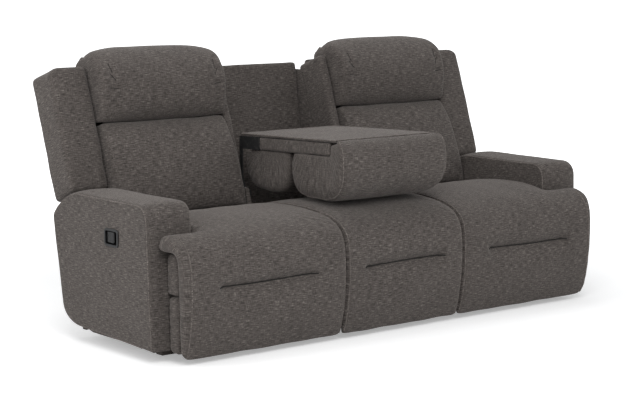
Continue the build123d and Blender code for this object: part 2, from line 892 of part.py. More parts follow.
strut_width = 44.0
with BuildPart() as panel_struts:
    for side in (-1, 1):
        with BuildSketch(on_side(side * strut_x - board / 2)):
            polygon(
                [
                    (rear_rail_y, base_top),
                    (rear_rail_y + rail_depth - 1, base_top),
                    (panel_foot[0] + panel_thick, panel_foot[1] - strut_width),
                    (panel_foot[0] + panel_thick, panel_foot[1]),
                    (panel_foot[0] - 12, panel_foot[1]),
                    (rear_rail_y, base_top + 60),
                ]
            )
        extrude(amount=board)
keep(panel_struts.part, "panel_struts")

# Console: everything is drawn folded down. Its top slopes a little, up towards the front.
console_slope = (console_front_top - console_rear_top) / (console_rear - console_front)


def console_level(y, depth=0.0):
    """Z of the console's top at y, lowered by depth."""
    return console_rear_top + (console_rear - y) * console_slope - depth


with BuildPart() as console_top:
    for share, crown in ((-1, 0.0), (-0.6, 0.64), (0, 1.0), (0.6, 0.64), (1, 0.0)):
        with BuildSketch(on_side(share * console_half)):
            with BuildLine() as outline:
                rear_low = (console_rear, console_level(console_rear, console_pad))
                rear_high = (console_rear, console_level(console_rear, console_edge))
                front_high = (console_front, console_level(console_front, console_edge))
                front_low = (console_front, console_level(console_front, console_pad))
                middle = (console_rear + console_front) / 2
                high = console_level(middle, console_edge - 1) + crown * (console_edge + console_crown - 1)
                Line(rear_low, rear_high)
                ThreePointArc(rear_high, (middle, high), front_high)
                Line(front_high, front_low)
                Line(front_low, rear_low)
            make_face(outline.edges())
    loft(ruled=True)
keep(console_top.part, "console_top")

board_low = console_pad + console_board_depth
board_half = console_half - 5
with BuildPart() as console_board:
    with BuildSketch(on_side(-board_half)):
        polygon(
            [
                (console_board_rear, console_level(console_board_rear, board_low)),
                (console_board_rear, console_level(console_board_rear, console_pad)),
                (console_front + 40, console_level(console_front + 40, console_pad)),
                (console_front + 40, console_level(console_front + 40, board_low)),
            ]
        )
    extrude(amount=2 * board_half)
keep(console_board.part, "console_board")

strap_rear = console_rear - 2
with BuildPart() as console_straps:
    for side in (-1, 1):
        with BuildSketch(on_side(side * (board_half + strap / 2) - strap / 2)):
            polygon(
                [
                    (hinge_y - 15, hinge_z),
                    (hinge_y - 11, hinge_z - 12),
                    (hinge_y + 11, hinge_z - 12),
                    (hinge_y + 42, hinge_z + 12),
                    (strap_rear, hinge_z + 60),
                    (strap_rear, console_level(strap_rear, console_pad)),
                    (console_board_rear - 40, console_level(console_board_rear - 40, console_pad)),
                    (console_board_rear - 40, console_level(console_board_rear - 40, board_low)),
                    (strap_rear - 18, console_level(strap_rear - 18, board_low)),
                    (strap_rear - 18, hinge_z + 66),
                    (hinge_y + 24, hinge_z + 24),
                    (hinge_y - 10, hinge_z + 14),
                ]
            )
            with Locations(hinge_pivot):
                Circle(hinge_pin + pin_clearance, mode=Mode.SUBTRACT)
        extrude(amount=strap)
keep(console_straps.part, "console_straps")

lumbar_rear_low = console_level(150.0, board_low + soft_gap)
console_lumbar_outline = [
    (178.0, lumbar_rear_low - 6),
    (208.0, 585.0),
    (194.0, 522.0),
    (150.0, 494.0),
    (90.0, 490.0),
    (20.0, 489.0),
    (console_split + 16, 522.0),
    (console_split, 580.0),
    (console_split + 4, console_level(console_split + 4, board_low + soft_gap)),
    (40.0, console_level(40.0, board_low + soft_gap + 0.3)),
]
console_pillow_steps = [(0, 0.88), (7, 0.93), (26, 0.965), (70, 0.99), (130, 0.998)]
pillow_half = board_half - 4
console_lumbar = pillow(
    console_lumbar_outline, (50.0, lumbar_rear_low), -pillow_half, pillow_half, console_pillow_steps
)
keep(console_lumbar.part, "console_lumbar_pillow")

# The head pillow is lofted along Y, because its front end spreads wider than the board. It is
# drawn at its full height and then cut out for the board and the top that it wraps.
head_stations = [
    (console_split - 2, console_half - 22, 512.0, console_edge),
    (console_split - 16, console_half - 12, 497.0, console_edge),
    (console_split - 82, console_half - 7, 489.0, console_edge),
    (console_front + 124, console_half - 6, 488.0, console_edge),
    (console_front + 40, console_half - 6, 492.0, console_edge),
    (console_front + 10, console_half - 3, 499.0, console_edge),
    (console_front - 1, console_half + 10, 502.0, console_edge),
    (console_front - 22, console_half + 26, 512.0, 9.0),
    (console_front - 42, console_half + 28, 530.0, 26.0),
    (console_front - 56, console_half + 18, 556.0, 56.0),
    (console_front - 64, console_half - 6, 586.0, 96.0),
]
with BuildPart() as console_head:
    for y, half, low, depth in head_stations:
        high = console_level(y, depth)
        middle = (low + high) / 2
        turn = 0.16 * (high - low)
        low_corner = (half - 26, low + turn / 5)
        side_middle = (half, middle)
        high_corner = (half - 16, high - turn / 8)
        with BuildSketch(Plane.XZ.offset(-y)):
            with BuildLine() as outline:
                ThreePointArc((-low_corner[0], low_corner[1]), (0, low), low_corner)
                ThreePointArc(low_corner, (half - 5, low + turn), side_middle)
                ThreePointArc(side_middle, (half - 3, high - turn), high_corner)
                ThreePointArc(high_corner, (0, high), (-high_corner[0], high_corner[1]))
                ThreePointArc((-high_corner[0], high_corner[1]), (3 - half, high - turn), (-half, middle))
                ThreePointArc((-half, middle), (5 - half, low + turn), (-low_corner[0], low_corner[1]))
            make_face(outline.edges())
    loft(ruled=True)
    lip_y = console_front - 1
    board_front = console_front + 39
    with BuildSketch(on_side(-middle_half)):
        polygon(
            [
                (lip_y, console_level(lip_y, console_pad + soft_gap)),
                (board_front, console_level(board_front, console_pad + soft_gap)),
                (board_front, console_level(board_front, board_low + soft_gap)),
                (0, console_level(0, board_low + soft_gap)),
                (0, console_front_top + console_crown),
                (lip_y, console_front_top + console_crown),
            ]
        )
    extrude(amount=2 * middle_half, mode=Mode.SUBTRACT)
keep(console_head.part, "console_head_pillow")
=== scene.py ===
import bpy, bmesh
import json, math
import numpy as np
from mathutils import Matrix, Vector
from mathutils.bvhtree import BVHTree


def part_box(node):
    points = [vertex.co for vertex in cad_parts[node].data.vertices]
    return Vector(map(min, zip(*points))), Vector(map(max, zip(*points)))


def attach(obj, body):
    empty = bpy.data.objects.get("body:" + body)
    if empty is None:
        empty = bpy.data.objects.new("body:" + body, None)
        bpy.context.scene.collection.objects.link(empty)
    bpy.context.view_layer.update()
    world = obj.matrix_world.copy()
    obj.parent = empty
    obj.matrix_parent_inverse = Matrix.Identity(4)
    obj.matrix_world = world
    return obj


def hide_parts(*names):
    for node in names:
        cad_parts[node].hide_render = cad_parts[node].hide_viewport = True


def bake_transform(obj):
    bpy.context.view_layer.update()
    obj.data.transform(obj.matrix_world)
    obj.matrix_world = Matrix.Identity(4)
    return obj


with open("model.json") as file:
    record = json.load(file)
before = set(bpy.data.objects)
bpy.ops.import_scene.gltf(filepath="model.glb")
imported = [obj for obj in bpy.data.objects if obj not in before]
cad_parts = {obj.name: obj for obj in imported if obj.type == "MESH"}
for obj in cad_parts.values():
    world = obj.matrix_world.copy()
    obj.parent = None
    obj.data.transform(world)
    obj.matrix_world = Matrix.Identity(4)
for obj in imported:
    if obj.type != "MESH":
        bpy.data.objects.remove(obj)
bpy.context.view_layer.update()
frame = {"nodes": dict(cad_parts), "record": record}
scene = bpy.context.scene
print("frame loaded")

# camera, floor and light
cameraLook = {
    "place": (-4.4496, -5.4711, 1.4228), "tiltDown": 7.9, "turn": -39.0, "lens": 101.6, "farEnd": 60,
}
cameraData = bpy.data.cameras.new("photoCamera")
cameraData.lens = cameraLook["lens"]
cameraData.clip_end = cameraLook["farEnd"]
camera = bpy.data.objects.new("photoCamera", cameraData)
camera.location = cameraLook["place"]
camera.rotation_euler = (math.radians(90 - cameraLook["tiltDown"]), 0, math.radians(cameraLook["turn"]))
scene.collection.objects.link(camera)
scene.camera = camera


def softLamp(name, place, aim, size, power):
    lampData = bpy.data.lights.new(name, "AREA")
    lampData.shape = "RECTANGLE"
    lampData.size, lampData.size_y = size
    lampData.energy = power
    lamp = bpy.data.objects.new(name, lampData)
    lamp.location = place
    lamp.rotation_euler = (Vector(aim) - Vector(place)).to_track_quat("-Z", "Y").to_euler()
    scene.collection.objects.link(lamp)


softLamp("keyLamp", (-2.6, -3.6, 3.6), (0, -0.1, 0.45), (3.2, 2.2), 118)
softLamp("sideLamp", (-4.6, 0.6, 2.2), (-0.6, 0, 0.4), (2.2, 2.2), 46)
softLamp("fillLamp", (3.6, -4.2, 2.4), (0.4, 0, 0.4), (2.6, 2.6), 34)
softLamp("topLamp", (0, 1.0, 4.2), (0, 0, 0.5), (4.0, 2.4), 40)

scene.view_settings.view_transform = "Standard"


def newMaterial(name):
    material = bpy.data.materials.new(name)
    material.use_nodes = True
    nodes = material.node_tree.nodes
    nodes.clear()
    output = nodes.new("ShaderNodeOutputMaterial")
    output.location = (900, 0)
    return material, nodes, material.node_tree.links, output


def addNode(nodes, kind, inputs=None, **settings):
    # a new node with some of its settings and inputs filled in
    node = nodes.new(kind)
    for label, value in settings.items():
        setattr(node, label, value)
    for socket, value in (inputs or {}).items():
        node.inputs[socket].default_value = value
    return node


world = bpy.data.worlds.new("studioAir")
world.use_nodes = True
scene.world = world
worldNodes, worldLinks = world.node_tree.nodes, world.node_tree.links
worldNodes.clear()
# the camera and glossy rays see a white sky, the diffuse light comes from a duller one
skyDull = addNode(worldNodes, "ShaderNodeBackground", {"Color": (0.96, 0.98, 1, 1), "Strength": 0.42})
skyWhite = addNode(worldNodes, "ShaderNodeBackground", {"Color": (1, 1, 1, 1), "Strength": 1.0})
rayKind = worldNodes.new("ShaderNodeLightPath")
seenRay = addNode(worldNodes, "ShaderNodeMath", operation="MAXIMUM")
skyMix = worldNodes.new("ShaderNodeMixShader")
skyOut = worldNodes.new("ShaderNodeOutputWorld")
worldLinks.new(rayKind.outputs["Is Camera Ray"], seenRay.inputs[0])
worldLinks.new(rayKind.outputs["Is Glossy Ray"], seenRay.inputs[1])
worldLinks.new(seenRay.outputs[0], skyMix.inputs["Fac"])
worldLinks.new(skyDull.outputs[0], skyMix.inputs[1])
worldLinks.new(skyWhite.outputs[0], skyMix.inputs[2])
worldLinks.new(skyMix.outputs[0], skyOut.inputs["Surface"])

# a matte floor that fades to white with the distance from the sofa
floorLook = {
    "half": 60.0, "tone": (0.93, 0.93, 0.93, 1),
    "nearLift": 0.36, "farLift": 1.1, "nearReach": 1.35, "farReach": 3.4,
}
floorMesh = bpy.data.meshes.new("studioFloor")
reach = floorLook["half"]
floorCorners = [(-reach, -reach, 0), (reach, -reach, 0), (reach, reach, 0), (-reach, reach, 0)]
floorMesh.from_pydata(floorCorners, [], [(0, 1, 2, 3)])
studioFloor = bpy.data.objects.new("studioFloor", floorMesh)
scene.collection.objects.link(studioFloor)
floorMaterial, nodes, links, output = newMaterial("paleFloor")
floorMatte = addNode(nodes, "ShaderNodeBsdfDiffuse", {"Color": floorLook["tone"]})
floorGlow = nodes.new("ShaderNodeEmission")
floorRay = nodes.new("ShaderNodeLightPath")
floorPlace = nodes.new("ShaderNodeTexCoord")
floorFar = addNode(nodes, "ShaderNodeVectorMath", operation="LENGTH")
floorFade = addNode(nodes, "ShaderNodeMapRange", {
    "From Min": floorLook["nearReach"], "From Max": floorLook["farReach"],
    "To Min": floorLook["nearLift"], "To Max": floorLook["farLift"],
}, interpolation_type="SMOOTHSTEP")
floorLift = addNode(nodes, "ShaderNodeMath", operation="MULTIPLY")
floorSum = nodes.new("ShaderNodeAddShader")
links.new(floorPlace.outputs["Object"], floorFar.inputs[0])
links.new(floorFar.outputs["Value"], floorFade.inputs["Value"])
links.new(floorRay.outputs["Is Camera Ray"], floorLift.inputs[0])
links.new(floorFade.outputs[0], floorLift.inputs[1])
links.new(floorLift.outputs[0], floorGlow.inputs["Strength"])
links.new(floorMatte.outputs[0], floorSum.inputs[0])
links.new(floorGlow.outputs[0], floorSum.inputs[1])
links.new(floorSum.outputs[0], output.inputs["Surface"])
floorMesh.materials.append(floorMaterial)
print("camera, floor and light ready")


# shared shader groups
def newGroup(name, inputs, outputs):
    group = bpy.data.node_groups.new(name, "ShaderNodeTree")
    for label, kind, value in inputs:
        socket = group.interface.new_socket(label, in_out="INPUT", socket_type=kind)
        if value is not None:
            socket.default_value = value
    for label, kind in outputs:
        group.interface.new_socket(label, in_out="OUTPUT", socket_type=kind)
    enter = group.nodes.new("NodeGroupInput")
    leave = group.nodes.new("NodeGroupOutput")
    return group, group.nodes, group.links, enter, leave


def stretchedNoise(nodes, links, vector, stretch, detail, rough):
    # stretch is the number of noise cells per metre along each axis
    squeeze = addNode(nodes, "ShaderNodeVectorMath", {1: stretch}, operation="MULTIPLY")
    speckle = addNode(nodes, "ShaderNodeTexNoise", {"Scale": 1.0, "Detail": detail, "Roughness": rough})
    links.new(vector, squeeze.inputs[0])
    links.new(squeeze.outputs[0], speckle.inputs["Vector"])
    return speckle.outputs["Fac"]


def weigh(nodes, links, first, second, amount):
    # first * amount + second, where there is a second
    step = addNode(nodes, "ShaderNodeMath", {1: amount, 2: 0}, operation="MULTIPLY_ADD")
    links.new(first, step.inputs[0])
    if second is not None:
        links.new(second, step.inputs[2])
    return step.outputs[0]


# tweed: long weft slubs, shorter warp slubs, a fine cross weave and broad mottling
tweedLook = {
    "stops": [
        (0.0, (0.020, 0.017, 0.016)),
        (0.34, (0.056, 0.048, 0.044)),
        (0.58, (0.104, 0.090, 0.082)),
        (0.80, (0.190, 0.167, 0.152)),
        (1.0, (0.310, 0.279, 0.255)),
    ],
    "contrast": 1.05,
    "middle": 1.135,  # what the weighed noises come to on average
    "bump": 0.0011,
    "threads": {  # cells per metre, detail, roughness and weight of each noise
        "weft": ((40, 400, 3), 2.0, 0.55, 1.25),
        "warp": ((380, 60, 3), 2.0, 0.55, 0.68),
        "fine": ((700, 900, 3), 1.0, 0.5, 0.22),
        "mottle": ((7, 9, 3), 2.0, 0.5, 0.12),
    },
}
tweedGroup, nodes, links, enter, leave = newGroup(
    "tweedWeave",
    [("Cloth", "NodeSocketVector", None), ("Contrast", "NodeSocketFloat", 1.0)],
    [("Tone", "NodeSocketFloat"), ("Relief", "NodeSocketFloat")],
)
noises, total = {}, None
for kind, (stretch, detail, rough, weight) in tweedLook["threads"].items():
    noises[kind] = stretchedNoise(nodes, links, enter.outputs["Cloth"], stretch, detail, rough)
    total = weigh(nodes, links, noises[kind], total, weight)
centred = addNode(nodes, "ShaderNodeMath", {1: tweedLook["middle"]}, operation="SUBTRACT")
punch = addNode(nodes, "ShaderNodeMath", operation="MULTIPLY")
tone = addNode(nodes, "ShaderNodeMath", {1: 0.5}, operation="ADD", use_clamp=True)
links.new(total, centred.inputs[0])
links.new(centred.outputs[0], punch.inputs[0])
links.new(enter.outputs["Contrast"], punch.inputs[1])
links.new(punch.outputs[0], tone.inputs[0])
links.new(tone.outputs[0], leave.inputs["Tone"])
relief = weigh(nodes, links, noises["fine"], tone.outputs[0], 0.5)
links.new(relief, leave.inputs["Relief"])

# scuffs: soft bright wear used on plastic, enamel, spring steel and the seam lines of painted shade
scuffGroup, nodes, links, enter, leave = newGroup(
    "softScuffs",
    [("Place", "NodeSocketVector", None), ("Grain", "NodeSocketFloat", 60.0)],
    [("Mask", "NodeSocketFloat"), ("Relief", "NodeSocketFloat")],
)
scuffNoise = addNode(nodes, "ShaderNodeTexNoise", {"Detail": 5})
scuffRamp = addNode(nodes, "ShaderNodeMapRange", {"From Min": 0.5, "From Max": 0.72})
links.new(enter.outputs["Place"], scuffNoise.inputs["Vector"])
links.new(enter.outputs["Grain"], scuffNoise.inputs["Scale"])
links.new(scuffNoise.outputs["Fac"], scuffRamp.inputs["Value"])
links.new(scuffRamp.outputs[0], leave.inputs["Mask"])
links.new(scuffNoise.outputs["Fac"], leave.inputs["Relief"])


def toneRamp(nodes, links, value, stops):
    ramp = nodes.new("ShaderNodeValToRGB")
    while len(ramp.color_ramp.elements) < len(stops):
        ramp.color_ramp.elements.new(0.5)
    for element, (place, colour) in zip(ramp.color_ramp.elements, stops):
        element.position = place
        element.color = (*colour, 1)
    links.new(value, ramp.inputs["Fac"])
    return ramp.outputs["Color"]


def finishShader(material, links, output, shader, colour, bump):
    links.new(colour, shader.inputs["Base Color"])
    links.new(bump.outputs[0], shader.inputs["Normal"])
    links.new(shader.outputs[0], output.inputs["Surface"])
    return material


def tweedMaterial(name, onCad=False, brightness=1.0):
    material, nodes, links, output = newMaterial(name)
    if onCad:  # folded object coordinates give one continuous cloth direction on flat boards
        place = nodes.new("ShaderNodeTexCoord")
        split = nodes.new("ShaderNodeSeparateXYZ")
        across = addNode(nodes, "ShaderNodeMath", operation="ADD")
        up = addNode(nodes, "ShaderNodeMath", {1: 0.4}, operation="MULTIPLY_ADD")
        joined = nodes.new("ShaderNodeCombineXYZ")
        links.new(place.outputs["Object"], split.inputs[0])
        links.new(split.outputs["X"], across.inputs[0])
        links.new(split.outputs["Y"], across.inputs[1])
        links.new(split.outputs["Y"], up.inputs[0])
        links.new(split.outputs["Z"], up.inputs[2])
        links.new(across.outputs[0], joined.inputs["X"])
        links.new(up.outputs[0], joined.inputs["Y"])
        clothPlace = joined.outputs[0]
    else:
        clothPlace = addNode(nodes, "ShaderNodeUVMap", uv_map="cloth").outputs[0]
    weave = addNode(nodes, "ShaderNodeGroup", {"Contrast": tweedLook["contrast"]}, node_tree=tweedGroup)
    links.new(clothPlace, weave.inputs["Cloth"])
    stops = [
        (at, tuple(brightness * channel for channel in colour)) for at, colour in tweedLook["stops"]
    ]
    colour = toneRamp(nodes, links, weave.outputs["Tone"], stops)
    bump = addNode(nodes, "ShaderNodeBump", {"Strength": 0.75, "Distance": tweedLook["bump"]})
    links.new(weave.outputs["Relief"], bump.inputs["Height"])
    shader = addNode(nodes, "ShaderNodeBsdfPrincipled", {
        "Roughness": 0.92, "Specular IOR Level": 0.18,
        "Sheen Weight": 0.22, "Sheen Roughness": 0.45, "Sheen Tint": (0.85, 0.8, 0.76, 1),
    })
    return finishShader(material, links, output, shader, colour, bump)


def scuffedMaterial(name, dark, light, roughness, metallic=0.0, grain=60.0, coat=0.0):
    material, nodes, links, output = newMaterial(name)
    place = nodes.new("ShaderNodeTexCoord")
    scuff = addNode(nodes, "ShaderNodeGroup", {"Grain": grain}, node_tree=scuffGroup)
    links.new(place.outputs["Object"], scuff.inputs["Place"])
    colour = toneRamp(nodes, links, scuff.outputs["Mask"], [(0.0, dark), (1.0, light)])
    rough = addNode(nodes, "ShaderNodeMapRange", {"To Min": roughness, "To Max": min(1, roughness + 0.2)})
    links.new(scuff.outputs["Mask"], rough.inputs["Value"])
    bump = addNode(nodes, "ShaderNodeBump", {"Strength": 0.4, "Distance": 0.0003})
    links.new(scuff.outputs["Relief"], bump.inputs["Height"])
    shader = addNode(nodes, "ShaderNodeBsdfPrincipled", {"Metallic": metallic, "Coat Weight": coat})
    links.new(rough.outputs[0], shader.inputs["Roughness"])
    return finishShader(material, links, output, shader, colour, bump)


def boardMaterial(name, tones):
    # wood grain that runs across the sofa
    material, nodes, links, output = newMaterial(name)
    place = nodes.new("ShaderNodeTexCoord")
    grain = stretchedNoise(nodes, links, place.outputs["Object"], (9, 60, 90), 4.0, 0.6)
    knots = stretchedNoise(nodes, links, place.outputs["Object"], (2, 5, 7), 2.0, 0.5)
    both = weigh(nodes, links, knots, grain, 0.6)
    colour = toneRamp(nodes, links, both, list(zip((0.35, 0.75, 1.0), tones)))
    bump = addNode(nodes, "ShaderNodeBump", {"Strength": 0.3, "Distance": 0.0006})
    links.new(grain, bump.inputs["Height"])
    shader = addNode(nodes, "ShaderNodeBsdfPrincipled", {"Roughness": 0.7})
    return finishShader(material, links, output, shader, colour, bump)


tweed = tweedMaterial("tweedCloth")
tweedOnBoard = tweedMaterial("tweedOnBoard", onCad=True)
# welts in tweed made 1.55 times lighter: a painted highlight along the raised edges
weltHighlightCloth = tweedMaterial("weltHighlightCloth", onCad=True, brightness=1.55)
# near-black seam material: painted shade laid along the tuck's groove and the head's darts
seamShade = scuffedMaterial("seamPaintedShade", (0.010, 0.009, 0.008), (0.024, 0.021, 0.019), 0.9, grain=400)
blackPlastic = scuffedMaterial(
    "blackPlastic", (0.006, 0.006, 0.0065), (0.014, 0.014, 0.015), 0.38, grain=260, coat=0.08)
blackEnamel = scuffedMaterial(
    "blackEnamel", (0.02, 0.02, 0.021), (0.06, 0.058, 0.055), 0.42, metallic=0.25, grain=90)
springSteel = scuffedMaterial(
    "springSteel", (0.34, 0.34, 0.35), (0.5, 0.49, 0.47), 0.38, metallic=1.0, grain=150)
glideBlack = scuffedMaterial("glideBlack", (0.018, 0.018, 0.018), (0.045, 0.044, 0.042), 0.6, grain=120)
sawnBoard = boardMaterial("sawnBoard", ((0.30, 0.19, 0.105), (0.52, 0.37, 0.22), (0.62, 0.47, 0.30)))
# near-black board: painted shade for the base rails deep under the pads
paintedShadeBoard = boardMaterial(
    "paintedShadeBoard", ((0.020, 0.015, 0.012), (0.036, 0.028, 0.023), (0.050, 0.040, 0.033)))
print("materials ready")


# mesh helpers
def faceOutward(mesh):
    bm = bmesh.new()
    bm.from_mesh(mesh)
    bmesh.ops.recalc_face_normals(bm, faces=bm.faces)
    bm.to_mesh(mesh)
    bm.free()


def rampUp(value, start, run):
    # 0 up to start, 1 from start + run
    return min(1, max(0, (value - start) / run))


def catmull(knots, at):
    # smooth curve through evenly numbered knots, at in 0..1
    knots = np.asarray(knots, float)
    place = min(max(at, 0), 1) * (len(knots) - 1)
    i = min(int(place), len(knots) - 2)
    t = place - i
    before = knots[max(i - 1, 0)]
    after = knots[min(i + 2, len(knots) - 1)]
    first, second = knots[i], knots[i + 1]
    slopeA, slopeB = (second - before) / 2, (after - first) / 2
    return (
        (2 * t**3 - 3 * t**2 + 1) * first + (t**3 - 2 * t**2 + t) * slopeA
        + (3 * t**2 - 2 * t**3) * second + (t**3 - t**2) * slopeB
    )


def roundedBox(point, half, radius):
    # moves a point of a box's skin onto the same box with rounded edges
    inner = [min(max(p, -(h - radius)), h - radius) for p, h in zip(point, half)]
    off = [p - q for p, q in zip(point, inner)]
    length = math.sqrt(sum(o * o for o in off))
    if length < 1e-9:
        return list(point)
    reachOut = max(abs(o) for o in off)
    return [q + o / length * reachOut for q, o in zip(inner, off)]


def latticeSkin(name, half, step, place, clothShift=(0, 0)):
    # closed box-like skin of even quads; place(x, s, t) puts each lattice point in the frame
    counts = [max(2, int(round(2 * h / step))) for h in half]
    index, points, raw, faces, sides = {}, [], [], [], []

    def corner(key):
        if key not in index:
            index[key] = len(points)
            local = [(2 * n / c - 1) * h for n, c, h in zip(key, counts, half)]
            raw.append(local)
            points.append(place(*local))
        return index[key]

    def addQuad(keys, turn, side):
        quad = [corner(key) for key in keys]
        faces.append(quad if turn else quad[::-1])
        sides.append(side)

    na, nb, nc = counts
    for k, turn in ((0, 0), (nc, 1)):
        for i in range(na):
            for j in range(nb):
                addQuad([(i, j, k), (i + 1, j, k), (i + 1, j + 1, k), (i, j + 1, k)], turn, 2)
    for j, turn in ((0, 1), (nb, 0)):
        for i in range(na):
            for k in range(nc):
                addQuad([(i, j, k), (i + 1, j, k), (i + 1, j, k + 1), (i, j, k + 1)], turn, 1)
    for i, turn in ((0, 0), (na, 1)):
        for j in range(nb):
            for k in range(nc):
                addQuad([(i, j, k), (i, j + 1, k), (i, j + 1, k + 1), (i, j, k + 1)], turn, 0)
    mesh = bpy.data.meshes.new(name)
    mesh.from_pydata([tuple(p) for p in points], [], faces)
    layer = mesh.uv_layers.new(name="cloth")
    raw = np.array(raw)
    uvs = np.zeros((len(mesh.loops), 2))
    for poly, side in zip(mesh.polygons, sides):
        for loop in poly.loop_indices:
            x, s, t = raw[mesh.loops[loop].vertex_index]
            uvs[loop] = (x, s) if side == 2 else ((x, t + half[1]) if side == 1 else (t + half[0], s))
    uvs += np.array(clothShift)
    layer.data.foreach_set("uv", uvs.astype(np.float32).ravel())
    obj = bpy.data.objects.new(name, mesh)
    scene.collection.objects.link(obj)
    faceOutward(mesh)
    attribute = mesh.attributes.new("lattice", "FLOAT_VECTOR", "POINT")
    attribute.data.foreach_set("vector", raw.astype(np.float32).ravel())
    return obj


def pointsOf(obj):
    co = np.zeros(len(obj.data.vertices) * 3)
    obj.data.vertices.foreach_get("co", co)
    return co.reshape(-1, 3)


def normalsOf(obj):
    obj.data.update()
    nor = np.zeros(len(obj.data.vertices) * 3)
    obj.data.vertices.foreach_get("normal", nor)
    return nor.reshape(-1, 3)


def setPoints(obj, co):
    obj.data.vertices.foreach_set("co", np.asarray(co, np.float32).ravel())
    obj.data.update()


def latticeOf(obj):
    raw = np.zeros(len(obj.data.vertices) * 3, np.float32)
    obj.data.attributes["lattice"].data.foreach_get("vector", raw)
    return raw.reshape(-1, 3)


def ripple(co, scale, seed):
    # smooth fixed waves, used for the slight unevenness of filled covers
    rng = np.random.default_rng(seed)
    total = np.zeros(len(co))
    for _ in range(9):
        direction = rng.normal(size=3)
        direction /= np.linalg.norm(direction)
        waves = co @ direction * (2 * math.pi / scale) * rng.uniform(0.6, 1.7)
        total += np.sin(waves + rng.uniform(0, 6.28))
    return total / 3.0


def freshMesh(obj):
    # applies every modifier and keeps the object
    bpy.context.view_layer.update()
    evaluated = obj.evaluated_get(bpy.context.evaluated_depsgraph_get())
    mesh = bpy.data.meshes.new_from_object(
        evaluated, preserve_all_data_layers=True, depsgraph=bpy.context.evaluated_depsgraph_get())
    obj.modifiers.clear()
    old = obj.data
    obj.data = mesh
    bpy.data.meshes.remove(old)
    return obj


clothSim = {
    "pressure": 4.0, "frames": 20, "quality": 5, "mass": 0.3, "damping": 2.0,
    "stretch": 14, "shear": 6, "bend": 1.2,
}


def swell(obj, held, cap):
    # Blender cloth under pressure: held points stay, the rest fills out, no further than cap
    start = pointsOf(obj)
    group = obj.vertex_groups.new(name="held")
    for weight in np.unique(np.round(held, 2)):
        if weight > 0:
            group.add([int(i) for i in np.nonzero(np.round(held, 2) == weight)[0]], float(weight), "REPLACE")
    fill = obj.modifiers.new("fill", "CLOTH")
    fill.settings.quality = clothSim["quality"]
    fill.settings.mass = clothSim["mass"]
    fill.settings.air_damping = clothSim["damping"]
    fill.settings.tension_stiffness = clothSim["stretch"]
    fill.settings.compression_stiffness = clothSim["stretch"]
    fill.settings.shear_stiffness = clothSim["shear"]
    fill.settings.bending_stiffness = clothSim["bend"]
    fill.settings.use_pressure = True
    fill.settings.uniform_pressure_force = clothSim["pressure"]
    fill.settings.vertex_group_mass = "held"
    fill.settings.effector_weights.gravity = 0
    fill.collision_settings.use_collision = False
    fill.point_cache.frame_start = 1
    fill.point_cache.frame_end = clothSim["frames"]
    for number in range(1, clothSim["frames"] + 1):
        scene.frame_set(number)
    evaluated = obj.evaluated_get(bpy.context.evaluated_depsgraph_get())
    co = np.zeros(len(evaluated.data.vertices) * 3)
    evaluated.data.vertices.foreach_get("co", co)
    moved = co.reshape(-1, 3) - start
    obj.modifiers.clear()
    scene.frame_set(1)
    far = np.linalg.norm(moved, axis=1)
    print("  ", obj.name, "swelled by up to", round(float(far.max()) * 1000, 1), "mm")
    limited = cap * np.tanh(far / cap) / np.maximum(far, 1e-9)
    setPoints(obj, start + moved * limited[:, None])
    obj.vertex_groups.clear()


def finishSkin(obj, levels=1):
    if levels:
        finer = obj.modifiers.new("finer", "SUBSURF")
        finer.levels = finer.render_levels = levels
        freshMesh(obj)
    obj.data.polygons.foreach_set("use_smooth", [True] * len(obj.data.polygons))
    if "lattice" in obj.data.attributes:
        obj.data.attributes.remove(obj.data.attributes["lattice"])
    obj.data.update()
    return obj


def mirrored(obj, name, clothShift=(0.37, 0.21)):
    twin = obj.copy()
    twin.data = obj.data.copy()
    twin.name = twin.data.name = name
    scene.collection.objects.link(twin)
    co = pointsOf(twin)
    co[:, 0] *= -1
    setPoints(twin, co)
    bm = bmesh.new()
    bm.from_mesh(twin.data)
    bmesh.ops.reverse_faces(bm, faces=bm.faces)
    bm.to_mesh(twin.data)
    bm.free()
    if "cloth" in twin.data.uv_layers:
        layer = twin.data.uv_layers["cloth"]
        uvs = np.zeros(len(twin.data.loops) * 2, np.float32)
        layer.data.foreach_get("uv", uvs)
        uvs = uvs.reshape(-1, 2) + np.array(clothShift)
        layer.data.foreach_set("uv", uvs.astype(np.float32).ravel())
    twin.data.update()
    return twin


def dress(obj, material):
    obj.data.materials.clear()
    obj.data.materials.append(material)
    return obj


sofaSides = {"left": -1, "right": 1}


# geometry node trees
def treeSocket(tree, name):
    for item in tree.interface.items_tree:
        if item.item_type == "SOCKET" and item.in_out == "INPUT" and item.name == name:
            return item.identifier


def newTree(name, inputs):
    tree = bpy.data.node_groups.new(name, "GeometryNodeTree")
    tree.interface.new_socket("Geometry", in_out="INPUT", socket_type="NodeSocketGeometry")
    for label, kind, value in inputs:
        socket = tree.interface.new_socket(label, in_out="INPUT", socket_type=kind)
        if value is not None:
            socket.default_value = value
    tree.interface.new_socket("Geometry", in_out="OUTPUT", socket_type="NodeSocketGeometry")
    enter = tree.nodes.new("NodeGroupInput")
    leave = tree.nodes.new("NodeGroupOutput")
    return tree, tree.nodes, tree.links, enter, leave


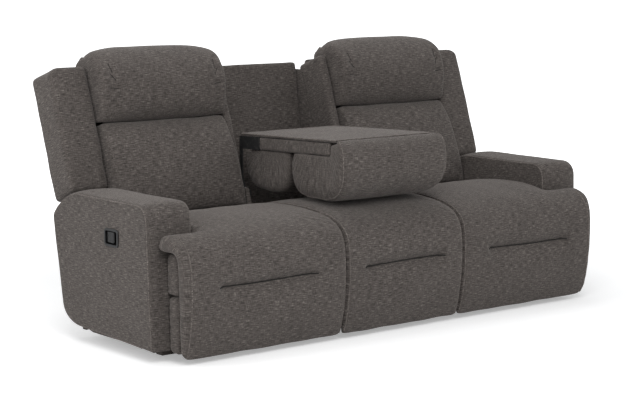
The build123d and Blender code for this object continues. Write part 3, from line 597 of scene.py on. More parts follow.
# a round welt or seam line along a path
weltTree, nodes, links, enter, leave = newTree(
    "weltAlongPath",
    [
        ("Radius", "NodeSocketFloat", 0.002), ("Step", "NodeSocketFloat", 0.008),
        ("Material", "NodeSocketMaterial", None),
    ],
)
resample = addNode(nodes, "GeometryNodeResampleCurve", mode="LENGTH")
ring = addNode(nodes, "GeometryNodeCurvePrimitiveCircle", {"Resolution": 6})
tube = addNode(nodes, "GeometryNodeCurveToMesh", {"Fill Caps": True})
shade = nodes.new("GeometryNodeSetShadeSmooth")
solid = nodes.new("GeometryNodeRealizeInstances")
paint = nodes.new("GeometryNodeSetMaterial")
links.new(enter.outputs["Geometry"], resample.inputs["Curve"])
links.new(enter.outputs["Step"], resample.inputs["Length"])
links.new(enter.outputs["Radius"], ring.inputs["Radius"])
links.new(resample.outputs[0], tube.inputs["Curve"])
links.new(ring.outputs[0], tube.inputs["Profile Curve"])
links.new(tube.outputs[0], shade.inputs["Geometry"])
links.new(shade.outputs[0], solid.inputs["Geometry"])
links.new(solid.outputs[0], paint.inputs["Geometry"])
links.new(enter.outputs["Material"], paint.inputs["Material"])
links.new(paint.outputs[0], leave.inputs["Geometry"])


def pathObject(name, paths):
    curve = bpy.data.curves.new(name, "CURVE")
    curve.dimensions = "3D"
    for points in paths:
        spline = curve.splines.new("POLY")
        spline.points.add(len(points) - 1)
        for spot, p in zip(spline.points, points):
            spot.co = (*p, 1)
    obj = bpy.data.objects.new(name, curve)
    scene.collection.objects.link(obj)
    return obj


def growOn(name, base, tree, values):
    # runs a tree on base, keeps its result as a plain mesh object and drops base
    grow = base.modifiers.new("grow", "NODES")
    grow.node_group = tree
    for label, value in values.items():
        grow[treeSocket(tree, label)] = value
    bpy.context.view_layer.update()
    graph = bpy.context.evaluated_depsgraph_get()
    mesh = bpy.data.meshes.new_from_object(
        base.evaluated_get(graph), preserve_all_data_layers=True, depsgraph=graph)
    mesh.name = name
    bpy.data.objects.remove(base)
    obj = bpy.data.objects.new(name, mesh)
    scene.collection.objects.link(obj)
    return obj


def welt(name, paths, radius=0.0022, material=None):
    values = {"Radius": radius, "Step": 0.007, "Material": material or weltHighlightCloth}
    return growOn(name, pathObject(name + "Path", paths), weltTree, values)


def surfaceOf(obj):
    bm = bmesh.new()
    bm.from_mesh(obj.data)
    tree = BVHTree.FromBMesh(bm)
    bm.free()
    return tree


def laidOn(tree, points, lift):
    # each point goes to the nearest place on the surface, lifted off it
    laid = []
    for p in points:
        place, normal, _, _ = tree.find_nearest(Vector(p))
        laid.append(tuple(place + normal * lift))
    return laid


def smoothPath(points, rounds=2):
    pts = np.array(points, float)
    for _ in range(rounds):
        pts[1:-1] = (pts[:-2] + 2 * pts[1:-1] + pts[2:]) / 4
    return [tuple(p) for p in pts]


print("helpers ready")

# seats with their front pads
seatLook = {
    "voxel": 0.008, "halfThick": 0.045,
    "outer": [
        (0.0925, 0.438), (0.045, 0.452), (-0.03, 0.467), (-0.12, 0.475), (-0.22, 0.476), (-0.30, 0.470),
        (-0.37, 0.459), (-0.43, 0.440), (-0.472, 0.410), (-0.492, 0.370), (-0.499, 0.320), (-0.501, 0.268),
        (-0.498, 0.203), (-0.490, 0.132), (-0.477, 0.066), (-0.460, 0.0185),
    ],
    "inner": [
        (0.0925, 0.350), (0.045, 0.350), (-0.03, 0.350), (-0.12, 0.350), (-0.22, 0.350), (-0.290, 0.352),
        (-0.345, 0.394), (-0.385, 0.394), (-0.425, 0.392), (-0.437, 0.365), (-0.437, 0.320), (-0.437, 0.268),
        (-0.437, 0.203), (-0.437, 0.132), (-0.438, 0.066), (-0.440, 0.0185),
    ],
    "swell": 0.016,
    "blendFrom": (-0.448, 0.432),
    "blendTo": (-0.503, 0.338),
    "foremost": -0.5165, "armFront": -0.353,
}
tuckLook = {
    "height": 0.268, "depth": 0.020, "width": 0.009, "valleyDepth": 0.012, "valleyWidth": 0.030,
    "fade": 0.03, "pullDepth": 0.0046, "pullReach": 0.045,
}
flareLook = {"from": 0.48, "upper": 0.014, "lower": 0.014, "corner": 0.030, "rear": 0.010}
seatRun = np.array([catmull(seatLook["outer"], at) for at in np.linspace(0, 1, 241)])
seatArc = np.concatenate([[0], np.cumsum(np.linalg.norm(np.diff(seatRun, axis=0), axis=1))])


def seatBlock(name, xFrom, xTo, atFrom, atTo, step, edge, flared=False):
    centre, halfWide, halfThick = (xFrom + xTo) / 2, (xTo - xFrom) / 2, seatLook["halfThick"]
    length = seatArc[-1] * (atTo - atFrom) / 2

    def place(x, s, t):
        half = (halfWide, length, halfThick)
        x, s, t = roundedBox((x, s, t), half, edge)
        at = atFrom + (s / length + 1) / 2 * (atTo - atFrom)
        outer, inner = catmull(seatLook["outer"], at), catmull(seatLook["inner"], at)
        if flared:  # the outer side comes in towards the floor, round its lower corner
            below = rampUp(at, flareLook["from"], 0.07)
            drawn = flareLook["upper"] * below + flareLook["lower"] * rampUp(at, 0.56, 0.40)
            cornerDrawn = flareLook["corner"] * max(0, (at - 0.94) / 0.06) ** 2
            drawn += cornerDrawn + flareLook["rear"] * max(0, -t / halfThick) * below
            x -= drawn * rampUp(x, 0, halfWide) ** 3
        yz = inner + (outer - inner) * (t / halfThick + 1) / 2
        return (centre + x, yz[0], yz[1])

    return latticeSkin(name, (halfWide, length, halfThick), step, place)


def clothFromProfile(obj, shift):
    # the cloth's own map: X across, and the way along the seat's outer line
    co = pointsOf(obj)
    nearest = np.zeros(len(co), int)
    for start in range(0, len(co), 4000):
        gap = co[start:start + 4000, None, 1:] - seatRun[None]
        nearest[start:start + 4000] = np.argmin((gap**2).sum(2), axis=1)
    along = seatArc[nearest]
    # finer place between the sampled points
    ahead = seatRun[np.minimum(nearest + 1, len(seatRun) - 1)] - seatRun[np.maximum(nearest - 1, 0)]
    ahead /= np.linalg.norm(ahead, axis=1)[:, None]
    along = along + ((co[:, 1:] - seatRun[nearest]) * ahead).sum(1)
    layer = obj.data.uv_layers.get("cloth") or obj.data.uv_layers.new(name="cloth")
    loops = np.zeros(len(obj.data.loops), np.int32)
    obj.data.loops.foreach_get("vertex_index", loops)
    uvs = np.stack([co[loops, 0] + shift[0], -along[loops] + shift[1]], axis=1)
    layer.data.foreach_set("uv", uvs.astype(np.float32).ravel())


def tuckHeight(x, tuckFrom, seed):
    return tuckLook["height"] + 0.003 * np.sin((x - tuckFrom) * 9 + seed)


def tuckShadeLine(name, seat, sign, tuckFrom, tuckTo, seed):
    # a near-black line along the bottom of the tuck: painted shade in its crease
    tree = surfaceOf(seat)
    path = []
    for x in np.linspace(tuckFrom + 0.008, tuckTo - 0.008, 80):
        ahead = Vector((sign * x, -0.56, tuckHeight(x, tuckFrom, seed)))
        place = tree.ray_cast(ahead, Vector((0, 1, 0)))[0]
        path.append((place.x, place.y - 0.0004, place.z))
    return welt(name, [smoothPath(path, 3)], 0.0026, seamShade)


def buildSeat(name, xFrom, bodyTo, rollTo, tuckFrom, tuckTo, seed):
    body = seatBlock(name, xFrom, bodyTo, 0.0, 0.47, 0.014, 0.022)
    pastArm = rollTo > bodyTo
    frontFrom = 0.40 if pastArm else 0.34
    front = seatBlock(name + "Front", xFrom, rollTo, frontFrom, 1.0, 0.014, 0.024, pastArm)
    if pastArm:  # the roll stops in front of the arm
        co = pointsOf(front)
        past = co[:, 0] > bodyTo - 0.002
        co[past, 1] = np.minimum(co[past, 1], seatLook["armFront"])
        setPoints(front, co)
    bpy.ops.object.select_all(action="DESELECT")
    body.select_set(True)
    front.select_set(True)
    bpy.context.view_layer.objects.active = body
    bpy.ops.object.join()
    remesh = body.modifiers.new("oneSkin", "REMESH")
    remesh.mode = "VOXEL"
    remesh.voxel_size = seatLook["voxel"]
    calm = body.modifiers.new("calm", "SMOOTH")
    calm.factor = 0.5
    calm.iterations = 8
    freshMesh(body)
    co = pointsOf(body)
    nor = normalsOf(body)
    x, y, z = co.T
    # the sewn tuck across the front, deep at its line and drawing a shallow valley round it
    fade = tuckLook["fade"]
    inTuck = np.clip((x - tuckFrom) / fade, 0, 1) * np.clip((tuckTo - x) / fade, 0, 1)
    onFront = np.clip((-0.462 - y) / 0.012, 0, 1)
    fromLine = z - tuckHeight(x, tuckFrom, seed)
    valley = tuckLook["valleyDepth"] * np.exp(-(fromLine / tuckLook["valleyWidth"]) ** 2) * inTuck
    valley = valley + tuckLook["depth"] * np.exp(-(fromLine / tuckLook["width"]) ** 2) * inTuck
    co[:, 1] += valley * onFront
    # short pulls fan out from both ends of the tuck
    for end, way in ((tuckFrom, -1), (tuckTo, 1)):
        dx, dz = (x - end) * way, z - tuckLook["height"]
        far = np.hypot(dx, dz)
        pulls = tuckLook["pullDepth"] * np.cos(np.arctan2(dz, dx) * 6 + seed)
        pulls = pulls * np.exp(-(far / tuckLook["pullReach"]) ** 2) * np.clip(far / 0.012, 0, 1)
        co[:, 1] += pulls * onFront
    co += nor * (0.0011 * ripple(co, 0.16, seed))[:, None]
    setPoints(body, co)
    # held: the rear, the underside, the pad's rear, the lower hem, both sides and the tuck's line
    held = np.zeros(len(co))
    held[y > 0.07] = 1
    held[(z < 0.36) & (y > -0.30)] = 1
    held[(z < 0.40) & (y > -0.445)] = 1
    held[(y > -0.447) & (z < 0.38)] = 1
    held[z < 0.028] = 1
    sideEdge = np.minimum(x - x.min(), np.where(y > -0.345, bodyTo, rollTo) - x)
    held[(sideEdge < 0.012) | (np.abs(nor[:, 0]) > 0.85)] = 1
    held = np.maximum(held, 0.9 * np.clip((0.03 - sideEdge) / 0.02, 0, 1))
    held = np.maximum(held, np.exp(-(fromLine / 0.007) ** 2) * inTuck * (onFront > 0.5))
    swell(body, held, seatLook["swell"])
    finishSkin(body, 1)
    # nothing of it reaches the arm, its neighbours or the footrest behind
    co = pointsOf(body)
    co[:, 0] = np.clip(co[:, 0], xFrom, rollTo)
    beside = co[:, 1] > -0.350
    co[beside, 0] = np.minimum(co[beside, 0], bodyTo)
    co[:, 1] = np.maximum(co[:, 1], seatLook["foremost"])
    setPoints(body, co)
    clothFromProfile(body, (seed * 0.31, seed * 0.17))
    return dress(body, tweed)


seatPlan = {
    "right": {"inner": 0.2925, "bodyTo": 0.868, "rollTo": 1.031, "tuck": (0.418, 0.872)},
    "middle": {"inner": -0.2875, "bodyTo": 0.2875, "rollTo": 0.2875, "tuck": (-0.212, 0.206)},
}
plan = seatPlan["right"]
rightSeat = buildSeat("rightSeatSkin", plan["inner"], plan["bodyTo"], plan["rollTo"], *plan["tuck"], 2)
leftSeat = mirrored(rightSeat, "leftSeatSkin")
plan = seatPlan["middle"]
middleSeat = buildSeat("middleSeatSkin", plan["inner"], plan["bodyTo"], plan["rollTo"], *plan["tuck"], 5)
hinge = {"start": seatLook["blendFrom"], "end": seatLook["blendTo"]}


def edgePath(skin, x, atFrom, atTo):
    # a line along the seat's side edge, laid on its skin
    line = [(x, *catmull(seatLook["outer"], at)) for at in np.linspace(atFrom, atTo, 90)]
    return smoothPath(laidOn(skin, line, 0.0006), 3)


for side, seat in (("left", leftSeat), ("right", rightSeat)):
    sign = sofaSides[side]
    skin = surfaceOf(seat)
    edges = welt(side + "SeatWelt", [
        edgePath(skin, sign * 0.2975, 0.2, 0.985), edgePath(skin, sign * 0.984, 0.46, 0.985),
    ])
    tuckShadeMark = tuckShadeLine(side + "TuckShadeLine", seat, sign, *seatPlan["right"]["tuck"], 2)
    for piece in (seat, edges, tuckShadeMark):
        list(hinge["start"])
        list(hinge["end"])
        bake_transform(piece)
    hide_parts(side + "_seat_cushion", side + "_footrest_pad")
skin = surfaceOf(middleSeat)
middleWelt = welt("middleSeatWelt", [edgePath(skin, x, 0.2, 0.985) for x in (-0.2825, 0.2825)])
middleShadeMark = tuckShadeLine("middleTuckShadeLine", middleSeat, 1, *plan["tuck"], 5)
for piece in (middleSeat, middleWelt, middleShadeMark):
    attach(piece, "base")
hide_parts("middle_seat_cushion", "middle_front_pad")
print("seats ready")


# back cushions
def cushionBetween(
    name, halfWide, outer, inner, step, edge, crown, shape, thick=0.06, clothShift=(0, 0), sole=0.0,
):
    # a cushion whose front follows outer and whose rear follows inner; shape(x, s, share) draws its
    # sides in, and sole is how far the rounding of its rear edges is left out
    run = np.array([catmull(outer, at) for at in np.linspace(0, 1, 100)])
    length = np.linalg.norm(np.diff(run, axis=0), axis=1).sum() / 2

    def place(x, s, t):
        half = (halfWide, length, thick + sole / 2)
        x, s, t = roundedBox((x, s, t + sole / 2), half, edge)
        t -= sole / 2
        at = (s / length + 1) / 2
        front, rear = catmull(outer, at), catmull(inner, at)
        share = (t / thick + 1) / 2
        lift = crown * (1 - abs(x / halfWide) ** 3) * (1 - abs(s / length) ** 4) * share
        direction = (front - rear) / max(np.linalg.norm(front - rear), 1e-6)
        yz = rear + (front - rear) * share + direction * lift
        return (shape(x, s / length, share), yz[0], yz[1])

    return latticeSkin(name, (halfWide, length, thick), step, place, clothShift)


def backHeld(obj, halfWide, thick, edge=0.92):
    # the rear part and both side edges of a cushion hold still
    raw = latticeOf(obj)
    held = np.zeros(len(raw))
    held[raw[:, 2] < thick * 0.3] = 1
    held = np.maximum(held, np.clip((np.abs(raw[:, 0]) / halfWide - edge) / (1 - edge), 0, 1))
    return held, raw


outerMiddle = 0.58025  # the middle of an outer seat
lumbarLook = {
    "outer": [
        (0.1005, 0.4365), (0.120, 0.526), (0.149, 0.606), (0.184, 0.684), (0.228, 0.752), (0.258, 0.785),
    ],
    "inner": [
        (0.256, 0.450), (0.278, 0.514), (0.300, 0.575), (0.322, 0.637), (0.350, 0.716), (0.363, 0.751),
    ],
    "half": 0.2865, "crown": 0.010, "swell": 0.018,
}


def lumbarShape(x, s, share):
    # a little narrower towards the top, with soft upper corners
    drawn = 1 - 0.02 * max(0, s) ** 2 - 0.05 * max(0, (s - 0.86) / 0.14) ** 2
    return outerMiddle + x * drawn


rightLumbar = cushionBetween(
    "rightLumbarSkin", lumbarLook["half"], lumbarLook["outer"], lumbarLook["inner"],
    0.012, 0.018, lumbarLook["crown"], lumbarShape, clothShift=(0.9, 0.4))
held, raw = backHeld(rightLumbar, lumbarLook["half"], 0.06)
co = pointsOf(rightLumbar)
co += normalsOf(rightLumbar) * (0.0012 * ripple(co, 0.17, 7))[:, None] * (raw[:, 2:3] > 0)
setPoints(rightLumbar, co)
swell(rightLumbar, held, lumbarLook["swell"])
finishSkin(rightLumbar, 1)
dress(rightLumbar, tweed)

headLook = {
    "outer": [
        (0.284, 0.784), (0.250, 0.789), (0.235, 0.814), (0.231, 0.860), (0.230, 0.905), (0.236, 0.948),
        (0.256, 0.988), (0.289, 1.021), (0.330, 1.044), (0.378, 1.052), (0.422, 1.045), (0.458, 1.028),
        (0.484, 1.004),
    ],
    "inner": [
        (0.374, 0.767), (0.380, 0.782), (0.389, 0.803), (0.402, 0.836), (0.412, 0.866), (0.424, 0.898),
        (0.434, 0.926), (0.443, 0.952), (0.449, 0.974), (0.455, 0.986), (0.462, 0.990), (0.470, 0.992),
        (0.476, 0.990),
    ],
    "half": 0.2865, "crown": 0.006, "swell": 0.016,
}


def headShape(x, s, share):
    # both upper corners are rounded off, the lower ones only a little
    top = max(0, (s - 0.02) / 0.62)
    drawn = 0.062 * (1 - math.sqrt(max(0, 1 - min(1, top) ** 2.6)))
    low = max(0, (-s - 0.86) / 0.14)
    drawn += 0.014 * low**2
    return outerMiddle + x * (1 - drawn / headLook["half"])


rightHead = cushionBetween(
    "rightHeadSkin", headLook["half"], headLook["outer"], headLook["inner"],
    0.011, 0.022, headLook["crown"], headShape, clothShift=(0.2, 1.3))
held, raw = backHeld(rightHead, headLook["half"], 0.06, 0.9)
co = pointsOf(rightHead)
nor = normalsOf(rightHead)
length = raw[:, 1].max()
# the upper corners fall away, and short sewn darts take up the fullness there
upper = np.clip((raw[:, 1] / length - 0.1) / 0.7, 0, 1)
sideward = np.clip((np.abs(raw[:, 0]) / headLook["half"] - 0.55) / 0.45, 0, 1)
co[:, 2] -= 0.027 * upper * sideward**2.2 * (raw[:, 2] > 0.01)
darts = [(0.985, 0.18), (0.955, 0.62), (0.912, 1.45)]  # height and turn of each
dartLook = {"fromMiddle": 0.236, "depth": 0.010, "width": 0.0075, "half": 0.022, "shadeLineHalf": 0.017}
for way in (-1, 1):
    for dartZ, turn in darts:
        dx = (co[:, 0] - outerMiddle) * way - dartLook["fromMiddle"]
        dz = co[:, 2] - dartZ
        along = dx * math.sin(turn) + dz * math.cos(turn)
        off = dx * math.cos(turn) - dz * math.sin(turn)
        cut = dartLook["depth"] * np.exp(-(off / dartLook["width"]) ** 2)
        cut = cut * np.exp(-(along / dartLook["half"]) ** 4) * (raw[:, 2] > 0.01) * (co[:, 1] < 0.36)
        co -= nor * cut[:, None]
co += nor * (0.0012 * ripple(co, 0.15, 11))[:, None] * (raw[:, 2:3] > 0)
setPoints(rightHead, co)
swell(rightHead, held, headLook["swell"])
finishSkin(rightHead, 1)
dress(rightHead, tweed)

leftLumbar, leftHead = mirrored(rightLumbar, "leftLumbarSkin"), mirrored(rightHead, "leftHeadSkin")
for side, head in (("left", leftHead), ("right", rightHead)):
    sign = sofaSides[side]
    skin = surfaceOf(head)
    creases = []
    for way in (-1, 1):
        for dartZ, turn in darts:
            struck = []
            for r in np.linspace(-dartLook["shadeLineHalf"], dartLook["shadeLineHalf"], 9):
                x = sign * (outerMiddle + way * (dartLook["fromMiddle"] + r * math.sin(turn)))
                ahead = Vector((x, 0.20, dartZ + r * math.cos(turn)))
                struck.append(skin.ray_cast(ahead, Vector((0, 1, 0)))[0])
            creases.append([tuple(p) for p in struck if p])
    # near-black lines along each dart: painted shade in the dart creases
    dartShade = welt(side + "HeadDartShade", [c for c in creases if len(c) > 2], 0.0014, seamShade)
    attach(dartShade, side + "_back")
for side, lumbar, head in (("left", leftLumbar, leftHead), ("right", rightLumbar, rightHead)):
    for piece, node in ((lumbar, "_lumbar_cushion"), (head, "_head_cushion")):
        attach(piece, side + "_back")
        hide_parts(side + node)
print("back cushions ready")

# wings, rear covers
backLean = math.radians(19.5)
backFoot = (0.328, 0.483)  # y and z of the board's foot at the pivot


def upTheBack(along, forward):
    # y and z of a place so far up the back's board and so far in front of it
    return (
        backFoot[0] + along * math.sin(backLean) - forward * math.cos(backLean),
        backFoot[1] + along * math.cos(backLean) + forward * math.sin(backLean),
    )


def slab(name, centre, half, step, edge, place, puff=0.0, seed=1, clothShift=(0, 0)):
    # an upholstered board: a rounded box whose faces stand slightly proud in the middle
    def put(x, s, t):
        x, s, t = roundedBox((x, s, t), half, edge)
        fx, fs, ft = x / half[0], s / half[1], t / half[2]
        x += puff * fx * (1 - fs**4) * (1 - ft**4)
        s += puff * fs * (1 - fx**4) * (1 - ft**4)
        t += puff * ft * (1 - fx**4) * (1 - fs**4)
        return place(centre[0] + x, centre[1] + s, centre[2] + t)

    obj = latticeSkin(name, half, step, put, clothShift)
    co = pointsOf(obj)
    co += normalsOf(obj) * (0.0007 * ripple(co, 0.14, seed))[:, None]
    setPoints(obj, co)
    finishSkin(obj, 1)
    return dress(obj, tweed)


def onBack(x, along, forward):
    y, z = upTheBack(along, forward)
    return (x, y, z)


wingLook = {
    "outer": {"centre": (0.9495, 0.243, 0.079), "half": (0.0795, 0.243, 0.076), "edge": 0.019, "puff": 0.003},
    "inner": {"centre": (0.2712, 0.243, 0.079), "half": (0.0200, 0.243, 0.076), "edge": 0.016, "puff": 0.001},
}


def wingPlace(x, along, forward):
    # deeper towards the top, with a crest that falls to the rear
    tall, deep, crestFrom = 0.49, 0.15, 0.40
    deeper = 0.95 + 0.04 * along / tall
    along = along - max(0, along - crestFrom) * 0.03 * (1 - forward / deep)
    # the outer wing's upper front corner is rounded off
    outward, upward = max(0, (x - 0.985) / 0.045), max(0, (along - crestFrom) / 0.086)
    along = along - 0.022 * outward**2 * upward * min(1, forward / 0.10)
    y, z = upTheBack(along + 0.014 * (forward / deep) * (1 - along / tall), 0.004 + forward * deeper)
    return (x, y, z)


for kind, look in wingLook.items():
    wing = slab(
        "right" + kind.capitalize() + "WingSkin", look["centre"], look["half"], 0.011, look["edge"],
        wingPlace, look["puff"], 21, clothShift=(0.5, 0.7))
    twin = mirrored(wing, "left" + kind.capitalize() + "WingSkin")
    for side, piece in (("right", wing), ("left", twin)):
        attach(piece, side + "_back")
        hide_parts(f"{side}_{kind}_wing")



def archPath(half, low, high, top, topHalf, counts):
    # up one side, across the top and down the other, as pairs across and up
    up = [(-half, a) for a in np.linspace(low, high, counts[0])]
    over = [(d, top) for d in np.linspace(-topHalf, topHalf, counts[1])]
    return up + over + [(half, a) for a in np.linspace(high, low, counts[0])]


rearLook = {"centre": (outerMiddle, 0.228, 0.009), "half": (0.2875, 0.281, 0.0085), "edge": 0.007}
rightRear = slab(
    "rightRearCoverSkin", rearLook["centre"], rearLook["half"], 0.014, rearLook["edge"],
    onBack, 0.0015, 31, clothShift=(1.7, 0.2))
leftRear = mirrored(rightRear, "leftRearCoverSkin")
for side, piece in (("right", rightRear), ("left", leftRear)):
    sign = sofaSides[side]
    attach(piece, side + "_back")
    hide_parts(side + "_back_rear_cover")
    rim = archPath(0.281, -0.045, 0.50, 0.502, 0.279, (40, 40))
    line = [(sign * (outerMiddle + dx), *upTheBack(along, -0.0008)) for dx, along in rim]
    edge = welt(side + "RearCoverWelt", [line], 0.0024)
    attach(edge, side + "_back")


def gapShadePlace(x, s, t):
    # a near-black sheet, painted shade, that hangs under the lumbar cushion and closes the view to the rear
    return (outerMiddle + x, 0.214 + 0.006 * math.sin(x * 22) * (0.040 - s) / 0.08 + t, 0.402 + s)


# near-black cloth: painted shade where the gaps behind the cushions fall dark
gapShadeCloth = scuffedMaterial("gapShadeCloth", (0.016, 0.014, 0.013), (0.032, 0.028, 0.026), 0.95, grain=700)
rightGapShade = latticeSkin("rightBackGapShade", (0.262, 0.040, 0.0006), 0.016, gapShadePlace)
finishSkin(rightGapShade, 1)
dress(rightGapShade, gapShadeCloth)
for side, piece in (("right", rightGapShade), ("left", mirrored(rightGapShade, "leftBackGapShade"))):
    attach(piece, side + "_back")
print("wings and rear covers ready")

# arms
armLook = {
    "inner": 0.8765, "outer": 1.0630, "low": 0.045, "top": 0.560, "roll": 0.052, "crown": 0.008,
    "edge": 0.011, "front": -0.367, "frontLean": 0.027,
    "fallFrom": 0.110, "fallLength": 0.170,
    "heel": (0.221, 0.138), "heelReach": (0.125, 0.077),
}


def armFront(z):
    return armLook["front"] + (z - armLook["low"]) / 0.515 * armLook["frontLean"]


def armOutline(count=280):
    # closed side outline, starting at the lower front and running up, back and down
    low, high, roll = armLook["low"], armLook["top"], armLook["roll"]
    fallFrom, (heelY, heelZ) = armLook["fallFrom"], armLook["heel"]
    heelDeep, heelTall = armLook["heelReach"]
    points = [(armFront(low), low), (armFront(high - roll), high - roll)]
    for a in np.radians(np.linspace(0, 90, 9)[1:]):
        points.append((armFront(high - roll) + roll * (1 - math.cos(a)), high - roll + roll * math.sin(a)))
    points.append((fallFrom, high))
    for t in np.linspace(0, 1, 10)[1:]:
        points.append((fallFrom + armLook["fallLength"] * t, high - 0.012 * t - 0.086 * t**2.1))
    points.append((heelY, heelZ))
    for a in np.radians(np.linspace(0, 90, 9)[1:]):
        points.append((heelY - heelDeep * (1 - math.cos(a)), heelZ - heelTall * math.sin(a)))
    points = np.array(points + [points[0]])
    run = np.concatenate([[0], np.cumsum(np.linalg.norm(np.diff(points, axis=0), axis=1))])
    even = np.linspace(0, run[-1], count + 1)[:-1]
    return np.stack([np.interp(even, run, points[:, 0]), np.interp(even, run, points[:, 1])], axis=1), even


armRing, armRun = armOutline()


def ringSkin(name, rings, runs, wrap, clothShift=(0, 0)):
    # closed skin through rings of equal count, with a middle point at both ends
    count = len(rings[0])
    points = np.concatenate(rings + [rings[0].mean(0)[None], rings[-1].mean(0)[None]])
    faces, kinds = [], []
    for k in range(len(rings) - 1):
        for i in range(count):
            j = (i + 1) % count
            faces.append((k * count + i, k * count + j, (k + 1) * count + j, (k + 1) * count + i))
            kinds.append(wrap[0] <= k < wrap[1])
    first, last = len(rings) * count, len(rings) * count + 1
    top = (len(rings) - 1) * count
    for i in range(count):
        j = (i + 1) % count
        faces.append((first, j, i))
        faces.append((last, top + i, top + j))
        kinds += [False, False]
    mesh = bpy.data.meshes.new(name)
    mesh.from_pydata([tuple(p) for p in points], [], faces)
    layer = mesh.uv_layers.new(name="cloth")
    uvs = np.zeros((len(mesh.loops), 2))
    for poly, wrapped in zip(mesh.polygons, kinds):
        for loop in poly.loop_indices:
            v = mesh.loops[loop].vertex_index
            x, y, z = points[v]
            if wrapped:
                along = runs[v % count]
                if v % count == 0 and poly.index % count == count - 1:
                    along = runs[-1] + runs[1]
                uvs[loop] = (x, along)
            else:
                uvs[loop] = (y, z)
    layer.data.foreach_set("uv", (uvs + np.array(clothShift)).astype(np.float32).ravel())
    obj = bpy.data.objects.new(name, mesh)
    scene.collection.objects.link(obj)
    faceOutward(mesh)
    return obj


def armRings():
    centre = armRing.mean(0)
    inward = centre - armRing
    inward /= np.linalg.norm(inward, axis=1)[:, None]
    inner, outer, edge = armLook["inner"], armLook["outer"], armLook["edge"]

    def ring(x, inset, size=1.0):
        yz = armRing + inward * inset
        yz = centre + (yz - centre) * size
        across = (x - inner) / (outer - inner) * 2 - 1
        falls = np.clip((yz[:, 1] - 0.40) / 0.14, 0, 1) * armLook["crown"] * across**2
        yz = yz - np.stack([np.zeros(len(yz)), falls], axis=1)
        return np.concatenate([np.full((len(yz), 1), x), yz], axis=1)

    corner = np.radians(np.linspace(0, 90, 6))
    flat = np.linspace(0.05, 0.975, 22)
    found = [ring(inner, edge, size) for size in flat]
    found += [ring(inner + edge * (1 - math.cos(a)), edge * (1 - math.sin(a))) for a in corner]
    found += [ring(x, 0) for x in np.linspace(inner + edge, outer - edge, 26)[1:-1]]
    found += [ring(outer - edge * (1 - math.cos(a)), edge * (1 - math.sin(a))) for a in corner[::-1]]
    found += [ring(outer, edge, size) for size in flat[::-1]]
    return found


# rings 24 to 54 are the ones whose cloth wraps round the arm
rightArm = ringSkin("rightArmSkin", armRings(), armRun, (24, 54), clothShift=(0.3, 2.1))
co = pointsOf(rightArm)
nor = normalsOf(rightArm)
puff = 0.0035 * (np.abs(nor[:, 1]) > 0.5) * np.clip(1 - ((co[:, 0] - 0.97) / 0.09) ** 4, 0, 1)
co += nor * (0.0009 * ripple(co, 0.2, 41) + puff)[:, None]
co[:, 0] = np.clip(co[:, 0], 0.8762, armLook["outer"] + 0.0015)
co[:, 2] = np.maximum(co[:, 2], 0.0445)
setPoints(rightArm, co)
# an opening for the handle's cup, cut where the faces are made finer first
cupLook = {"y": -0.122, "z": 0.4175, "length": 0.078, "height": 0.053}


def facesRoundCup(bm, reachY, reachZ):
    found = []
    for face in bm.faces:
        middle = face.calc_center_median()
        beside = abs(middle.y - cupLook["y"]) < reachY and abs(middle.z - cupLook["z"]) < reachZ
        if middle.x > 1.05 and beside:
            found.append(face)
    return found


bm = bmesh.new()
bm.from_mesh(rightArm.data)
bm.verts.ensure_lookup_table()
near = facesRoundCup(bm, 0.06, 0.045)
bmesh.ops.subdivide_edges(bm, edges=list({e for f in near for e in f.edges}), cuts=3, use_grid_fill=True)
inside = facesRoundCup(bm, cupLook["length"] / 2 - 0.001, cupLook["height"] / 2 - 0.001)
bmesh.ops.delete(bm, geom=inside, context="FACES")
bm.to_mesh(rightArm.data)
bm.free()
finishSkin(rightArm, 0)
dress(rightArm, tweed)
leftArm = mirrored(rightArm, "leftArmSkin")
for side, arm in (("left", leftArm), ("right", rightArm)):
    sign = sofaSides[side]
    skin = surfaceOf(arm)
    # the welts run up the front, over the top and down the rear, not along the underside
    arch = [i for i in range(len(armRing)) if not (armRing[i][1] < 0.047 and armRing[i][0] < 0.1)]
    start = next(n for n in range(len(arch)) if armRing[arch[n]][1] > 0.05 and armRing[arch[n]][0] < -0.3)
    order = arch[start:] + arch[:start]
    centre = armRing.mean(0)
    lines = []
    for x, inset in ((armLook["outer"] - 0.0022, 0.0055), (armLook["inner"] + 0.0022, 0.0055)):
        points = []
        for i in order:
            inward = centre - armRing[i]
            yz = armRing[i] + inward / np.linalg.norm(inward) * inset
            points.append((sign * x, yz[0], yz[1] - (armLook["crown"] * 0.9 if yz[1] > 0.5 else 0)))
        lines.append(smoothPath(laidOn(skin, points, 0.0004), 2))
    edge = welt(side + "ArmWelt", lines, 0.0021)
    for piece in (arm, edge):
        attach(piece, "base")
    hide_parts(side + "_arm_pad", side + "_arm_outer_panel")
print("arms ready")

